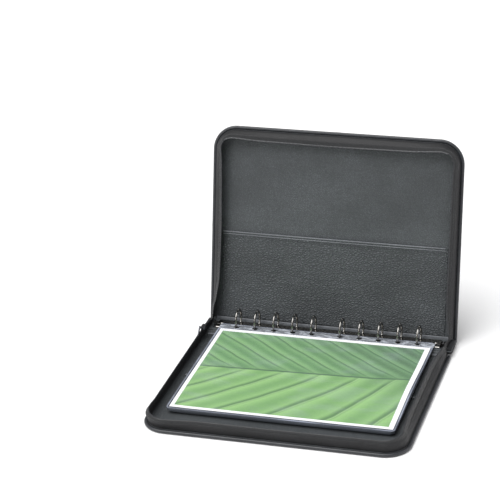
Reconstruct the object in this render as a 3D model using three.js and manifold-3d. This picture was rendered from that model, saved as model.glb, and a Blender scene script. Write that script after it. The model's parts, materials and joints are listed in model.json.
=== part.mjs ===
// A zip-round portfolio case, standing open: two leatherette covers joined by a narrow spine,
// ten two-part rings on a metal rail, clear sleeves on the rings, zip gussets round both covers,
// and a strap handle lying flat under the spine.
//
// Frame: millimetres, +Z up, +X along the spine, +Y from the free edge of the lower cover to the spine.
// The origin is the middle of the lower cover's underside.
import * as THREE from "three";
import { mergeVertices } from "three/addons/utils/BufferGeometryUtils.js";
import Module from "manifold-3d";

const wasm = await Module();
wasm.setup();

// ---------------------------------------------------------------- Driving dimensions
const PAPER_WIDTH = 279.4;
const PAPER_DEPTH = 215.9;
const SIDE_BORDER = 26.3; // from a side edge of the paper to the side of the case
const FREE_BORDER = 46.1; // what the paper leaves of the lower cover, nearly all at its free edge
const CORNER_RADIUS = 32;
const HINGE_SPAN = 36; // from the lower cover's hinge line to the lid's
const LID_LEAN = THREE.MathUtils.degToRad(13); // how far the open lid leans back past upright
const GAP = 0.3; // between pieces that touch

const SKIN = 0.9;
const BOARD = 2.2;
const LINING = 0.9;
const BINDING_WIDTH = 4.5; // the rolled edge of a cover
const BOARD_MARGIN = 1.2; // how far the board stops short of the skin's edge

const GUSSET_HEIGHT = 11.1;
const GUSSET_THICKNESS = 1.5;
const TAPE_HEIGHT = 3.7;
const TAPE_THICKNESS = 1.2;
const TAPE_LEAN = 3.2; // how far the tape's top edge lies inside its foot
const TEETH_WIDTH = 1.6;
const TEETH_HEIGHT = 1.3;
const WALL_START = 6; // from the hinge line to the end of the gusset

const POCKET_SIDE = 16; // from the side of the case
const POCKET_FOOT = 7.5; // from the hinge line
const POCKET_HEM = 122.5; // from the hinge line
const POCKET_THICKNESS = 0.9;
const PIPING_SIDE = 10; // from the side of the case
const PIPING_FOOT = 2;
const PIPING_WIDTH = 4.5;
const PIPING_THICKNESS = 1.4;

const SPINE_RELIEF = 2; // from a hinge line to the spine panel's edge
const KEEPER_THICKNESS = 0.9;
const STRAP_THICKNESS = 2.2;

const RING_COUNT = 10;
const RING_PITCH = 25.4;
const RING_MIDDLE_PITCH = 38.1; // between the two middle rings
const RING_RADIUS = 12.5; // centre line
const WIRE_DIAMETER = 3;
const RING_LIFT = 10.4; // from the spine's lining up to the ring centre
const RING_FOOT_DROP = 8.9; // from the ring centre down to the end of each half

const RAIL_FROM_END = 17; // from the end of the spine
const RAIL_LIP = 1.64; // from the middle of a ring's foot to the edge of the rail
const RAIL_WALL = 0.6;
const RAIL_SHOULDER = 1.8; // height of the rail's flanks
const RAIL_CREST = 2.5; // height of the rail's middle
const BLADE_THICKNESS = 0.7;
const BLADE_WIDTH = 4.5;
const BLADE_SINK = 0.7; // how far the blades lie below the lining's face
const RIVET_FROM_END = 6; // from the end of the rail
const RIVET_SHANK_RADIUS = 1.5;
const RIVET_HEAD_RADIUS = 3;
const RIVET_DOME_RADIUS = 4.2;
const LEVER_HALF_WIDTH = 3.5;
const LEVER_THICKNESS = 0.8;
const LEVER_FLAT = 2.4;
const LEVER_REACH = 5;
const LEVER_RISE = 3.5;

const PAPER_THICKNESS = 0.2;
const SLEEVE_MARGIN = 3.3; // clear film past the paper's side edges
const SLEEVE_FOOT = 5; // clear film past the paper's free edge
const SLEEVE_CORNER_RADIUS = 5;
const FILM = 0.3;
const STACK_THICKNESS = 5.3; // the sleeves under the top one
const STRIP_DEPTH = 14; // the punched strip
const STRIP_THICKNESS = 0.6;
const HOLE_DIAMETER = 7;
const HOLE_FROM_STRIP_EDGE = 6.1;
const STRIP_ABOVE_RAIL = 0.3;

const KEEPER_SPACING = 162; // centre to centre
const KEEPER_LENGTH = 14;
const KEEPER_WALL = 2;
const STRAP_HALF_WIDTH = 8.4;
const STRAP_SIDE_PLAY = 0.5;
const STRAP_SHOULDER = 8.5; // strap past a keeper before it narrows
const NECK_HALF_WIDTH = 4.5;
const NECK_LENGTH = 8.5;
const HEAD_LENGTH = 24.5;
const HEAD_HALF_WIDTH = 11.5;

const TAB_WIDTH = 6.5;
const TAB_MARGIN = 0.5; // from the end of the spine
const TAB_INSET = 2; // from the spine panel's long edges
const TAB_THICKNESS = 1.2;

const SLIDER_LENGTH = 12;
const SLIDER_WALL = 1.4;
const SLIDER_PLAY = 0.5; // between the slider's walls and the teeth
const SLIDER_FROM_HINGE = 18;
const SLIDER_SKIRT = 2.1; // how far its walls reach below the teeth's crest
const LUG_WIDTH = 1.3;
const LUG_HALF_LENGTH = 2;
const PIN_RADIUS = 0.8;
const PIN_LENGTH = 2;
const PULL_THICKNESS = 1;
const PULL_HALF_WIDTH = 1.8;
const PULL_REACH = 20; // from the pin to the centre of its round end
const PULL_EYE_RADIUS = 1.2;

// ---------------------------------------------------------------- Derived places
const COVER_THICKNESS = SKIN + BOARD + LINING + 2 * GAP;
const COVER_DEPTH = PAPER_DEPTH + FREE_BORDER;
const HALF_WIDTH = PAPER_WIDTH / 2 + SIDE_BORDER;
const POCKET_HALF_WIDTH = HALF_WIDTH - POCKET_SIDE;
const PIPING_HALF_WIDTH = HALF_WIDTH - PIPING_SIDE;
const HINGE_A = COVER_DEPTH / 2; // Y of the lower cover's hinge line
const HINGE_B = HINGE_A + HINGE_SPAN; // Y of the lid's hinge line
const SPINE_CENTRE = HINGE_A + HINGE_SPAN / 2;
const SPINE_DEPTH = HINGE_SPAN - 2 * SPINE_RELIEF;
const SPINE_UNDERSIDE = KEEPER_THICKNESS + STRAP_THICKNESS + 3 * GAP;
const SPINE_FACE = SPINE_UNDERSIDE + COVER_THICKNESS;
const GUSSET_INSET = BINDING_WIDTH + GAP;
const WALL_TOP = GUSSET_HEIGHT + TAPE_HEIGHT + TEETH_HEIGHT + 3 * GAP; // above a cover's inner face
const TEETH_INSET = GUSSET_INSET + TAPE_LEAN + TAPE_THICKNESS / 2;
const RAIL_FOOT = SPINE_FACE + GAP;
const RING_Z = SPINE_FACE + RING_LIFT;
const RING_FOOT_REACH = Math.sqrt(RING_RADIUS ** 2 - RING_FOOT_DROP ** 2); // from the ring centre
const RAIL_HALF_DEPTH = RING_FOOT_REACH + RAIL_LIP;
const RAIL_HALF_LENGTH = HALF_WIDTH - RAIL_FROM_END;
const RIVET_X = RAIL_HALF_LENGTH - RIVET_FROM_END;
const STRIP_BOTTOM = RAIL_FOOT + RAIL_SHOULDER + STRIP_ABOVE_RAIL;
const STACK_TOP = STRIP_BOTTOM + STRIP_THICKNESS;
const TOP_SLEEVE_BOTTOM = STACK_TOP + GAP;
const HOLE_REACH = Math.sqrt(RING_RADIUS ** 2 - (RING_Z - STACK_TOP) ** 2); // from the ring centre
const HOLE_Y = SPINE_CENTRE - HOLE_REACH;
const STRIP_BACK = HOLE_Y + HOLE_FROM_STRIP_EDGE;
const STRIP_FRONT = STRIP_BACK - STRIP_DEPTH;
const PAPER_FRONT = STRIP_FRONT - GAP - PAPER_DEPTH;
const SLEEVE_FRONT = PAPER_FRONT - SLEEVE_FOOT;
const SLEEVE_HALF_WIDTH = PAPER_WIDTH / 2 + SLEEVE_MARGIN;

const COLOURS = {
  outerLeather: [0x26292d, 0.5, 0],
  liningLeather: [0x54585b, 0.62, 0],
  pocketLeather: [0x4c5155, 0.6, 0],
  greyBoard: [0x8a8378, 0.9, 0],
  zipTape: [0x1d1f22, 0.9, 0],
  zipTeeth: [0x2b2c2e, 0.45, 0],
  chrome: [0xd8dadd, 0.12, 1],
  clearFilm: [0xb4bcc8, 0.15, 0],
  print: [0x95c289, 0.4, 0],
};

// ---------------------------------------------------------------- Solids
/** Turns a closed geometry into a solid that can be joined or cut. */
function solid(geometry) {
  const bare = new THREE.BufferGeometry();
  const source = geometry.index ? geometry.toNonIndexed() : geometry;
  bare.setAttribute("position", source.getAttribute("position"));
  const merged = mergeVertices(bare, 1e-4);
  return new wasm.Manifold(
    new wasm.Mesh({
      numProp: 3,
      vertProperties: new Float32Array(merged.attributes.position.array),
      triVerts: new Uint32Array(merged.index.array),
    }),
  );
}

/** Turns a solid back into a geometry. */
function geometryOf(made) {
  const mesh = made.getMesh();
  const geometry = new THREE.BufferGeometry();
  geometry.setAttribute("position", new THREE.BufferAttribute(new Float32Array(mesh.vertProperties), 3));
  geometry.setIndex(new THREE.BufferAttribute(new Uint32Array(mesh.triVerts), 1));
  const flat = geometry.toNonIndexed();
  flat.computeVertexNormals();
  return flat;
}

/** Cuts every tool from a geometry. */
function cut(geometry, tools) {
  let made = solid(geometry);
  for (const tool of tools) {
    made = made.subtract(solid(tool));
  }
  return geometryOf(made);
}

/** Joins geometries that overlap into one closed body. */
function join(geometries) {
  return geometryOf(geometries.map(solid).reduce((a, b) => a.add(b)));
}

/** A box given by its low and high corners. */
function block(low, high) {
  const size = low.map((v, i) => high[i] - v);
  const middle = low.map((v, i) => (v + high[i]) / 2);
  return new THREE.BoxGeometry(...size).translate(...middle);
}

/** A flat outline raised from z to z + height. */
function plate(shape, z, height, curveSegments = 8) {
  const options = { depth: height, bevelEnabled: false, curveSegments };
  return new THREE.ExtrudeGeometry(shape, options).translate(0, 0, z);
}

/** A section drawn in (y, z) and run along X from -halfLength to +halfLength. */
function beam(points, halfLength) {
  const shape = new THREE.Shape(points.map(([y, z]) => new THREE.Vector2(y, z)));
  const along = new THREE.Matrix4().makeBasis(
    new THREE.Vector3(0, 1, 0),
    new THREE.Vector3(0, 0, 1),
    new THREE.Vector3(1, 0, 0),
  );
  const options = { depth: 2 * halfLength, bevelEnabled: false };
  return new THREE.ExtrudeGeometry(shape, options).translate(0, 0, -halfLength).applyMatrix4(along);
}

/** An upright round bar, for pins and drilled holes. */
function post(x, y, zLow, zHigh, radius, sides = 16) {
  const height = zHigh - zLow;
  const bar = new THREE.CylinderGeometry(radius, radius, height, sides);
  return bar.rotateX(Math.PI / 2).translate(x, y, zLow + height / 2);
}

/** A named mesh in one of the case's materials. */
function piece(name, finish, geometry) {
  const [color, roughness, metalness] = COLOURS[finish];
  const mesh = new THREE.Mesh(geometry, new THREE.MeshStandardMaterial({ color, roughness, metalness }));
  mesh.name = name;
  return mesh;
}

// ---------------------------------------------------------------- Cover outlines
// A cover is drawn with its hinge line at y = 0, its free edge at y = COVER_DEPTH and its inner
// face at z = 0. Only the two corners at the free edge are round.

/** Walks a cover's outline, moved in by inset, from one hinge end round to the other. */
function walkOutline(path, inset, start, backwards) {
  const half = HALF_WIDTH - inset;
  const far = COVER_DEPTH - inset;
  const radius = CORNER_RADIUS - inset;
  const side = backwards ? 1 : -1;
  path.lineTo(side * half, start);
  path.lineTo(side * half, far - radius);
  const [first, last] = backwards ? [0, Math.PI] : [Math.PI, 0];
  path.absarc(side * (half - radius), far - radius, radius, first, Math.PI / 2, !backwards);
  path.lineTo(-side * (half - radius), far);
  path.absarc(-side * (half - radius), far - radius, radius, Math.PI / 2, last, !backwards);
  path.lineTo(-side * half, start);
}

/** The whole panel inside an inset. */
function panelShape(inset, start) {
  const shape = new THREE.Shape();
  shape.moveTo(-(HALF_WIDTH - inset), start);
  walkOutline(shape, inset, start, false);
  return shape;
}

/** A band that follows the two sides and the free edge, between two insets. */
function bandShape(outer, inner, start) {
  const shape = new THREE.Shape();
  shape.moveTo(-(HALF_WIDTH - outer), start);
  walkOutline(shape, outer, start, false);
  walkOutline(shape, inner, start, true);
  return shape;
}

/** Moves the top of a band inwards, so that the band leans over the cover. */
function leanInwards(geometry, zFoot, height, lean) {
  const places = geometry.getAttribute("position");
  const cornerX = HALF_WIDTH - CORNER_RADIUS;
  const cornerY = COVER_DEPTH - CORNER_RADIUS;
  for (let i = 0; i < places.count; i += 1) {
    const x = places.getX(i);
    const y = places.getY(i);
    const share = (places.getZ(i) - zFoot) / height;
    const acrossX = Math.sign(x) * Math.max(Math.abs(x) - cornerX, 0);
    const towards = new THREE.Vector2(acrossX, Math.max(y - cornerY, 0));
    towards.normalize().multiplyScalar(lean * share);
    places.setXY(i, x - towards.x, y - towards.y);
  }
  return geometry;
}

// ---------------------------------------------------------------- Covers
/** One cover: rolled edge, skin, board, lining, pocket, piping, gusset and half of the zip. */
function cover(side) {
  const group = new THREE.Group();
  const panelInset = BINDING_WIDTH + GAP;
  const gussetFoot = GAP;
  const tapeFoot = gussetFoot + GUSSET_HEIGHT + GAP;
  const teethFoot = tapeFoot + TAPE_HEIGHT + GAP;
  const teethOuter = TEETH_INSET - TEETH_WIDTH / 2;
  const tapeBand = bandShape(GUSSET_INSET, GUSSET_INSET + TAPE_THICKNESS, WALL_START);
  const tape = plate(tapeBand, tapeFoot, TAPE_HEIGHT);
  const binding = plate(bandShape(0, BINDING_WIDTH, 0), -COVER_THICKNESS, COVER_THICKNESS);
  const panel = panelShape(panelInset, 0);
  const boardShape = panelShape(panelInset + BOARD_MARGIN, BOARD_MARGIN);
  const pocket = block(
    [-POCKET_HALF_WIDTH, POCKET_FOOT, GAP],
    [POCKET_HALF_WIDTH, POCKET_HEM, GAP + POCKET_THICKNESS],
  );
  const piping = block(
    [-PIPING_HALF_WIDTH, PIPING_FOOT, GAP],
    [PIPING_HALF_WIDTH, PIPING_FOOT + PIPING_WIDTH, GAP + PIPING_THICKNESS],
  );
  group.add(
    piece(`${side}_edge_binding`, "outerLeather", binding),
    piece(`${side}_cover_skin`, "outerLeather", plate(panel, -COVER_THICKNESS, SKIN)),
    piece(`${side}_cover_board`, "greyBoard", plate(boardShape, -LINING - GAP - BOARD, BOARD)),
    piece(`${side}_cover_lining`, "liningLeather", plate(panel, -LINING, LINING)),
    piece(`${side}_pocket`, "pocketLeather", pocket),
    piece(`${side}_lining_piping`, "liningLeather", piping),
    piece(`${side}_gusset`, "outerLeather",
      plate(bandShape(GUSSET_INSET, GUSSET_INSET + GUSSET_THICKNESS, WALL_START), gussetFoot, GUSSET_HEIGHT)),
    piece(`${side}_zip_tape`, "zipTape", leanInwards(tape, tapeFoot, TAPE_HEIGHT, TAPE_LEAN)),
    piece(`${side}_zip_teeth`, "zipTeeth",
      plate(bandShape(teethOuter, teethOuter + TEETH_WIDTH, WALL_START), teethFoot, TEETH_HEIGHT)),
  );
  return group;
}

// ---------------------------------------------------------------- Spine
/** The spine panel: skin, board, and a lining with a window for the ring blades. */
function spinePanel() {
  const half = SPINE_DEPTH / 2;
  const layer = (inset, z, height) =>
    block(
      [-HALF_WIDTH + inset, SPINE_CENTRE - half + inset, z],
      [HALF_WIDTH - inset, SPINE_CENTRE + half - inset, z + height],
    );
  const shankRadius = RIVET_SHANK_RADIUS + GAP;
  const drills = [-1, 1].map((end) => post(end * RIVET_X, SPINE_CENTRE, -1, RING_Z, shankRadius, 12));
  const windowHalfLength = RAIL_HALF_LENGTH + LEVER_FLAT + 2;
  const windowHalfDepth = RAIL_HALF_DEPTH - RAIL_WALL - GAP / 3;
  const window = block(
    [-windowHalfLength, SPINE_CENTRE - windowHalfDepth, SPINE_FACE - LINING - 1],
    [windowHalfLength, SPINE_CENTRE + windowHalfDepth, SPINE_FACE + 1],
  );
  const boardFoot = SPINE_UNDERSIDE + SKIN + GAP;
  return [
    piece("spine_skin", "outerLeather", cut(layer(0, SPINE_UNDERSIDE, SKIN), drills)),
    piece("spine_board", "greyBoard", cut(layer(BOARD_MARGIN, boardFoot, BOARD), drills)),
    piece("spine_lining", "liningLeather", cut(layer(0, SPINE_FACE - LINING, LINING), [window, ...drills])),
  ];
}

/** Both keeper loops on the outside of the spine, which the handle runs through. */
function handleKeepers() {
  const inner = STRAP_HALF_WIDTH + STRAP_SIDE_PLAY;
  const outer = inner + KEEPER_WALL;
  const top = SPINE_UNDERSIDE - GAP;
  const section = [
    [-outer, 0], [outer, 0], [outer, top], [inner, top],
    [inner, KEEPER_THICKNESS], [-inner, KEEPER_THICKNESS], [-inner, top], [-outer, top],
  ];
  return [["left", -1], ["right", 1]].map(([name, end]) => {
    const loop = beam(section, KEEPER_LENGTH / 2).translate((end * KEEPER_SPACING) / 2, SPINE_CENTRE, 0);
    return piece(`handle_keeper_${name}`, "outerLeather", loop);
  });
}

/** The strap handle: a long grip, a narrow neck past each keeper, and a spade-shaped head. */
function handleStrap() {
  const shoulder = KEEPER_SPACING / 2 + STRAP_SHOULDER;
  const neckEnd = shoulder + NECK_LENGTH;
  const tip = neckEnd + HEAD_LENGTH;
  const half = [
    [shoulder - 1, STRAP_HALF_WIDTH],
    [shoulder + 1.5, NECK_HALF_WIDTH],
    [neckEnd - 1, NECK_HALF_WIDTH],
    [neckEnd + 2, HEAD_HALF_WIDTH - 1],
    [neckEnd + 5, HEAD_HALF_WIDTH],
    [neckEnd + 10, HEAD_HALF_WIDTH - 0.6],
    [neckEnd + 16, HEAD_HALF_WIDTH * 0.72],
    [neckEnd + 21, HEAD_HALF_WIDTH * 0.4],
    [tip, 1],
  ];
  const turn = ([x, y]) => [-x, -y];
  const mirrored = half.map(([x, y]) => [x, -y]).reverse();
  const rightEnd = [...half, ...mirrored];
  const outline = [...rightEnd, ...rightEnd.map(turn)].reverse();
  const shape = new THREE.Shape(outline.map(([x, y]) => new THREE.Vector2(x, y)));
  const strap = plate(shape, KEEPER_THICKNESS + GAP, STRAP_THICKNESS).translate(0, SPINE_CENTRE, 0);
  return piece("handle_strap", "outerLeather", strap);
}

/** Leather tabs over the zip's two ends, on the inside of the spine. */
function zipEndTabs() {
  const half = SPINE_DEPTH / 2 - TAB_INSET;
  const outer = HALF_WIDTH - TAB_MARGIN;
  return [["left", -1], ["right", 1]].map(([name, end]) => {
    const reach = [end * outer, end * (outer - TAB_WIDTH)].sort((a, b) => a - b);
    const tab = block(
      [reach[0], SPINE_CENTRE - half, SPINE_FACE + GAP],
      [reach[1], SPINE_CENTRE + half, SPINE_FACE + GAP + TAB_THICKNESS],
    );
    return piece(`zip_end_tab_${name}`, "outerLeather", tab);
  });
}

// ---------------------------------------------------------------- Rings
/** The places of the rings along the spine. */
function ringPlaces() {
  const places = [];
  for (let i = 0; i < RING_COUNT / 2; i += 1) {
    const x = RING_MIDDLE_PITCH / 2 + i * RING_PITCH;
    places.push(-x, x);
  }
  return places.sort((a, b) => a - b);
}

/** Half of a ring, from the joint at its top down to its foot; side is -1 at the front, 1 behind. */
class RingHalf extends THREE.Curve {
  constructor(x, side) {
    super();
    this.x = x;
    this.side = side;
    this.first = Math.asin(GAP / 2 / RING_RADIUS);
    this.last = Math.acos(-RING_FOOT_DROP / RING_RADIUS);
  }

  getPoint(t, target = new THREE.Vector3()) {
    const angle = this.first + (this.last - this.first) * t;
    const y = SPINE_CENTRE + this.side * RING_RADIUS * Math.sin(angle);
    return target.set(this.x, y, RING_Z + RING_RADIUS * Math.cos(angle));
  }
}

/** The wire of one ring half. */
function ringHalf(x, side) {
  const section = new THREE.Shape();
  section.absarc(0, 0, WIRE_DIAMETER / 2, 0, 2 * Math.PI);
  const options = { steps: 11, curveSegments: 4, extrudePath: new RingHalf(x, side) };
  return new THREE.ExtrudeGeometry(section, options);
}

/** Every ring's two halves and the two blades that carry them under the rail. */
function rings() {
  const pieces = [];
  const bladeTop = SPINE_FACE - BLADE_SINK + BLADE_THICKNESS;
  const bladeOuter = RAIL_HALF_DEPTH - RAIL_WALL - GAP - GAP / 3;
  const bladeHalfLength = RAIL_HALF_LENGTH - 4;
  for (const [name, side] of [["front", -1], ["rear", 1]]) {
    const reach = [SPINE_CENTRE + side * bladeOuter, SPINE_CENTRE + side * (bladeOuter - BLADE_WIDTH)];
    reach.sort((a, b) => a - b);
    const blade = block(
      [-bladeHalfLength, reach[0], bladeTop - BLADE_THICKNESS],
      [bladeHalfLength, reach[1], bladeTop],
    );
    pieces.push(piece(`${name}_ring_blade`, "chrome", blade));
    ringPlaces().forEach((x, i) => {
      pieces.push(piece(`${name}_ring_${i + 1}`, "chrome", ringHalf(x, side)));
    });
  }
  return pieces;
}

/** The arched rail over the blades, notched at each ring, and drilled for its rivets. */
function ringRail() {
  const depth = RAIL_HALF_DEPTH;
  const shoulder = RAIL_FOOT + RAIL_SHOULDER;
  const crest = RAIL_FOOT + RAIL_CREST;
  const bevel = 0.7;
  const crestHalf = 2;
  const crestFoot = 3.6;
  const half = [
    [depth, RAIL_FOOT], [depth, shoulder - bevel], [depth - bevel, shoulder],
    [crestFoot, shoulder], [crestHalf, crest],
  ];
  const under = [
    [crestHalf - 0.3, crest - RAIL_WALL], [crestFoot - 0.4, shoulder - RAIL_WALL],
    [depth - RAIL_WALL, shoulder - RAIL_WALL], [depth - RAIL_WALL, RAIL_FOOT],
  ];
  const mirror = ([y, z]) => [-y, z];
  const section = [...half, ...half.map(mirror).reverse(), ...under.map(mirror).reverse(), ...under];
  const notchHalf = WIRE_DIAMETER / 2 + 0.8;
  const notchInner = RING_FOOT_REACH - notchHalf;
  const notches = ringPlaces().flatMap((x) =>
    [-1, 1].map((side) => {
      const reach = [side * notchInner, side * (depth + 1)].sort((a, b) => a - b);
      return block([x - notchHalf, reach[0], RAIL_FOOT - 1], [x + notchHalf, reach[1], shoulder + 1]);
    }),
  );
  const drills = [-1, 1].map((end) => post(end * RIVET_X, 0, 0, RING_Z, RIVET_SHANK_RADIUS + GAP, 12));
  const rail = cut(beam(section, RAIL_HALF_LENGTH), [...notches, ...drills]);
  return piece("ring_rail", "chrome", rail.translate(0, SPINE_CENTRE, 0));
}

/** A rivet through spine and rail, with a low dome outside and a flat head inside. */
function railRivets() {
  const domeTop = SPINE_UNDERSIDE - GAP;
  const domeHeight = 1.3;
  const headFoot = RAIL_FOOT + RAIL_CREST + GAP;
  const profile = [
    [0, domeTop - domeHeight],
    [RIVET_DOME_RADIUS * 0.6, domeTop - domeHeight * 0.85],
    [RIVET_DOME_RADIUS * 0.9, domeTop - domeHeight * 0.45],
    [RIVET_DOME_RADIUS, domeTop],
    [RIVET_SHANK_RADIUS, domeTop],
    [RIVET_SHANK_RADIUS, headFoot],
    [RIVET_HEAD_RADIUS, headFoot],
    [RIVET_HEAD_RADIUS * 0.8, headFoot + 0.7],
    [0, headFoot + 0.9],
  ].map(([r, z]) => new THREE.Vector2(r, z));
  return [["left", -1], ["right", 1]].map(([name, end]) => {
    const rivet = new THREE.LatheGeometry(profile, 20).rotateX(Math.PI / 2);
    return piece(`rail_rivet_${name}`, "chrome", rivet.translate(end * RIVET_X, SPINE_CENTRE, 0));
  });
}

/** The thumb levers at the rail's ends, which open the rings when they are pressed down. */
function ringLevers() {
  const foot = RAIL_FOOT + 0.1;
  const inner = RAIL_HALF_LENGTH - LEVER_FLAT + 1;
  const bend = RAIL_HALF_LENGTH + 1;
  const tip = bend + LEVER_REACH;
  const section = [
    [inner, foot], [bend, foot], [tip, foot + LEVER_RISE],
    [tip - 0.5, foot + LEVER_RISE + LEVER_THICKNESS],
    [bend - 0.3, foot + LEVER_THICKNESS], [inner, foot + LEVER_THICKNESS],
  ];
  return [["left", -1], ["right", 1]].map(([name, end]) => {
    const placed = section.map(([x, z]) => new THREE.Vector2(end * x, z));
    const shape = new THREE.Shape(placed);
    const lever = plate(shape, -LEVER_HALF_WIDTH, 2 * LEVER_HALF_WIDTH).rotateX(Math.PI / 2);
    return piece(`ring_lever_${name}`, "chrome", lever.translate(0, SPINE_CENTRE, 0));
  });
}

// ---------------------------------------------------------------- Pages
/** The punched holes of a strip. */
function stripHoles() {
  return ringPlaces().map((x) => post(x, HOLE_Y, STRIP_BOTTOM - 2, RING_Z, HOLE_DIAMETER / 2, 16));
}

/** Rounds a sleeve's two corners at its free edge. */
function roundCorners(geometry) {
  const half = SLEEVE_HALF_WIDTH;
  const radius = SLEEVE_CORNER_RADIUS;
  const outline = new THREE.Shape();
  outline.moveTo(half, STRIP_BACK + 1);
  outline.lineTo(-half, STRIP_BACK + 1);
  outline.absarc(-half + radius, SLEEVE_FRONT + radius, radius, Math.PI, 1.5 * Math.PI, false);
  outline.absarc(half - radius, SLEEVE_FRONT + radius, radius, 1.5 * Math.PI, 2 * Math.PI, false);
  return geometryOf(solid(geometry).intersect(solid(plate(outline, 0, 2 * RING_Z, 4))));
}

/** The sleeves under the top one, pressed together, with their punched strips. */
function sleeveStack() {
  const bottom = STACK_TOP - STACK_THICKNESS;
  const section = [
    [SLEEVE_FRONT, bottom], [STRIP_FRONT - 7, bottom], [STRIP_FRONT, STRIP_BOTTOM],
    [STRIP_BACK, STRIP_BOTTOM], [STRIP_BACK, STACK_TOP], [SLEEVE_FRONT, STACK_TOP],
  ];
  const stack = roundCorners(beam(section, SLEEVE_HALF_WIDTH));
  return piece("sleeve_stack", "clearFilm", cut(stack, stripHoles()));
}

/** The top sleeve: two films joined on three sides and open towards the rings, and its strip. */
function topSleeve() {
  const roomHeight = PAPER_THICKNESS + 2 * GAP;
  const bottom = TOP_SLEEVE_BOTTOM;
  const pocket = block(
    [-SLEEVE_HALF_WIDTH, SLEEVE_FRONT, bottom],
    [SLEEVE_HALF_WIDTH, STRIP_FRONT, bottom + 2 * FILM + roomHeight],
  );
  const strip = block(
    [-SLEEVE_HALF_WIDTH, STRIP_FRONT - 1, bottom],
    [SLEEVE_HALF_WIDTH, STRIP_BACK, bottom + STRIP_THICKNESS],
  );
  const room = block(
    [-PAPER_WIDTH / 2 - GAP, PAPER_FRONT - GAP, bottom + FILM],
    [PAPER_WIDTH / 2 + GAP, STRIP_FRONT + 0.1, bottom + FILM + roomHeight],
  );
  const sleeve = roundCorners(join([pocket, strip]));
  return piece("top_sleeve", "clearFilm", cut(sleeve, [room, ...stripHoles()]));
}

/** The printed sheet inside the top sleeve. */
function leafPrint() {
  const bottom = TOP_SLEEVE_BOTTOM + FILM + GAP;
  const sheet = block(
    [-PAPER_WIDTH / 2, PAPER_FRONT, bottom],
    [PAPER_WIDTH / 2, PAPER_FRONT + PAPER_DEPTH, bottom + PAPER_THICKNESS],
  );
  return piece("leaf_print", "print", sheet);
}

// ---------------------------------------------------------------- Zip slider
/** The slider that straddles the lower cover's left-hand teeth, and its hanging pull. */
function zipSlider() {
  const group = new THREE.Group();
  const crest = WALL_TOP; // top of the teeth above the inner face
  const channelHalf = TEETH_WIDTH / 2 + SLIDER_PLAY;
  const outerHalf = channelHalf + SLIDER_WALL;
  const skirt = crest - SLIDER_SKIRT;
  const plan = new THREE.Shape(
    [
      [-outerHalf, -SLIDER_LENGTH / 2 + 3], [-outerHalf + 1, -SLIDER_LENGTH / 2],
      [outerHalf - 1, -SLIDER_LENGTH / 2], [outerHalf, -SLIDER_LENGTH / 2 + 3],
      [outerHalf, SLIDER_LENGTH / 2 - 1], [outerHalf - 1, SLIDER_LENGTH / 2],
      [-outerHalf + 1, SLIDER_LENGTH / 2], [-outerHalf, SLIDER_LENGTH / 2 - 1],
    ].map(([x, y]) => new THREE.Vector2(x, y)),
  );
  const capTop = crest + GAP + SLIDER_WALL - 0.2;
  const body = plate(plan, skirt, capTop - skirt);
  const channel = block(
    [-channelHalf, -SLIDER_LENGTH, skirt - 1],
    [channelHalf, SLIDER_LENGTH, crest + GAP],
  );
  const pinZ = crest - SLIDER_SKIRT / 2;
  const lug = block(
    [-outerHalf - LUG_WIDTH, -LUG_HALF_LENGTH, skirt + 0.1],
    [-outerHalf + 0.2, LUG_HALF_LENGTH, crest - 0.1],
  );
  const pinEnd = -outerHalf - LUG_WIDTH - PIN_LENGTH;
  const pinBar = new THREE.CylinderGeometry(PIN_RADIUS, PIN_RADIUS, PIN_LENGTH + 0.2, 12);
  const pin = pinBar.rotateZ(Math.PI / 2).translate(pinEnd + PIN_LENGTH / 2 + 0.1, 0, pinZ);
  const slider = join([cut(body, [channel]), lug, pin]);
  // The pull hangs from the pin until its round end rests on the cover's rolled edge.
  const endHeight = GAP + PULL_HALF_WIDTH + 0.1;
  const droop = Math.asin((pinZ - endHeight) / PULL_REACH);
  const outline = new THREE.Shape();
  outline.absarc(0, 0, PULL_HALF_WIDTH, Math.PI / 2, -Math.PI / 2, true);
  outline.absarc(-PULL_REACH, 0, PULL_HALF_WIDTH, -Math.PI / 2, Math.PI / 2, true);
  const eye = new THREE.Path();
  eye.absarc(0, 0, PULL_EYE_RADIUS, 0, 2 * Math.PI);
  outline.holes.push(eye);
  const upright = new THREE.Matrix4().makeBasis(
    new THREE.Vector3(0, 1, 0),
    new THREE.Vector3(0, 0, 1),
    new THREE.Vector3(1, 0, 0),
  );
  const pull = plate(outline, -PULL_THICKNESS / 2, PULL_THICKNESS, 6).applyMatrix4(upright);
  pull.rotateX(droop).translate(pinEnd + 0.3 + PULL_THICKNESS / 2, 0, pinZ);
  group.add(piece("zip_slider", "chrome", slider), piece("zip_pull", "chrome", pull));
  group.position.set(-HALF_WIDTH + TEETH_INSET, HINGE_A - SLIDER_FROM_HINGE, COVER_THICKNESS);
  return group;
}

// ---------------------------------------------------------------- The case
const lowerCover = cover("back");
lowerCover.position.set(0, HINGE_A, COVER_THICKNESS);
lowerCover.rotation.z = Math.PI;

const lid = cover("front");
lid.position.set(0, HINGE_B, COVER_THICKNESS);
lid.rotation.x = Math.PI / 2 - LID_LEAN;

const portfolio = new THREE.Group();
portfolio.add(lowerCover, lid, ...spinePanel(), ...handleKeepers(), handleStrap(), ...zipEndTabs());
portfolio.add(ringRail(), ...railRivets(), ...rings(), ...ringLevers());
portfolio.add(sleeveStack(), topSleeve(), leafPrint(), zipSlider());

export default portfolio;
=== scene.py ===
"""Looks for a zip-round leatherette portfolio case that stands open.

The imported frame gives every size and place. Each sub-assembly below is a class that reads what it
needs from the frame, builds its meshes and dresses them. Lengths are millimetres until a mesh is
made, and metres from there on.
"""

from __future__ import annotations

import json
import logging
import math
from dataclasses import dataclass
from enum import Enum
from typing import Callable, Iterable, Sequence

import bmesh
import bpy
import numpy as np
from mathutils import Matrix, Vector

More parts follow.
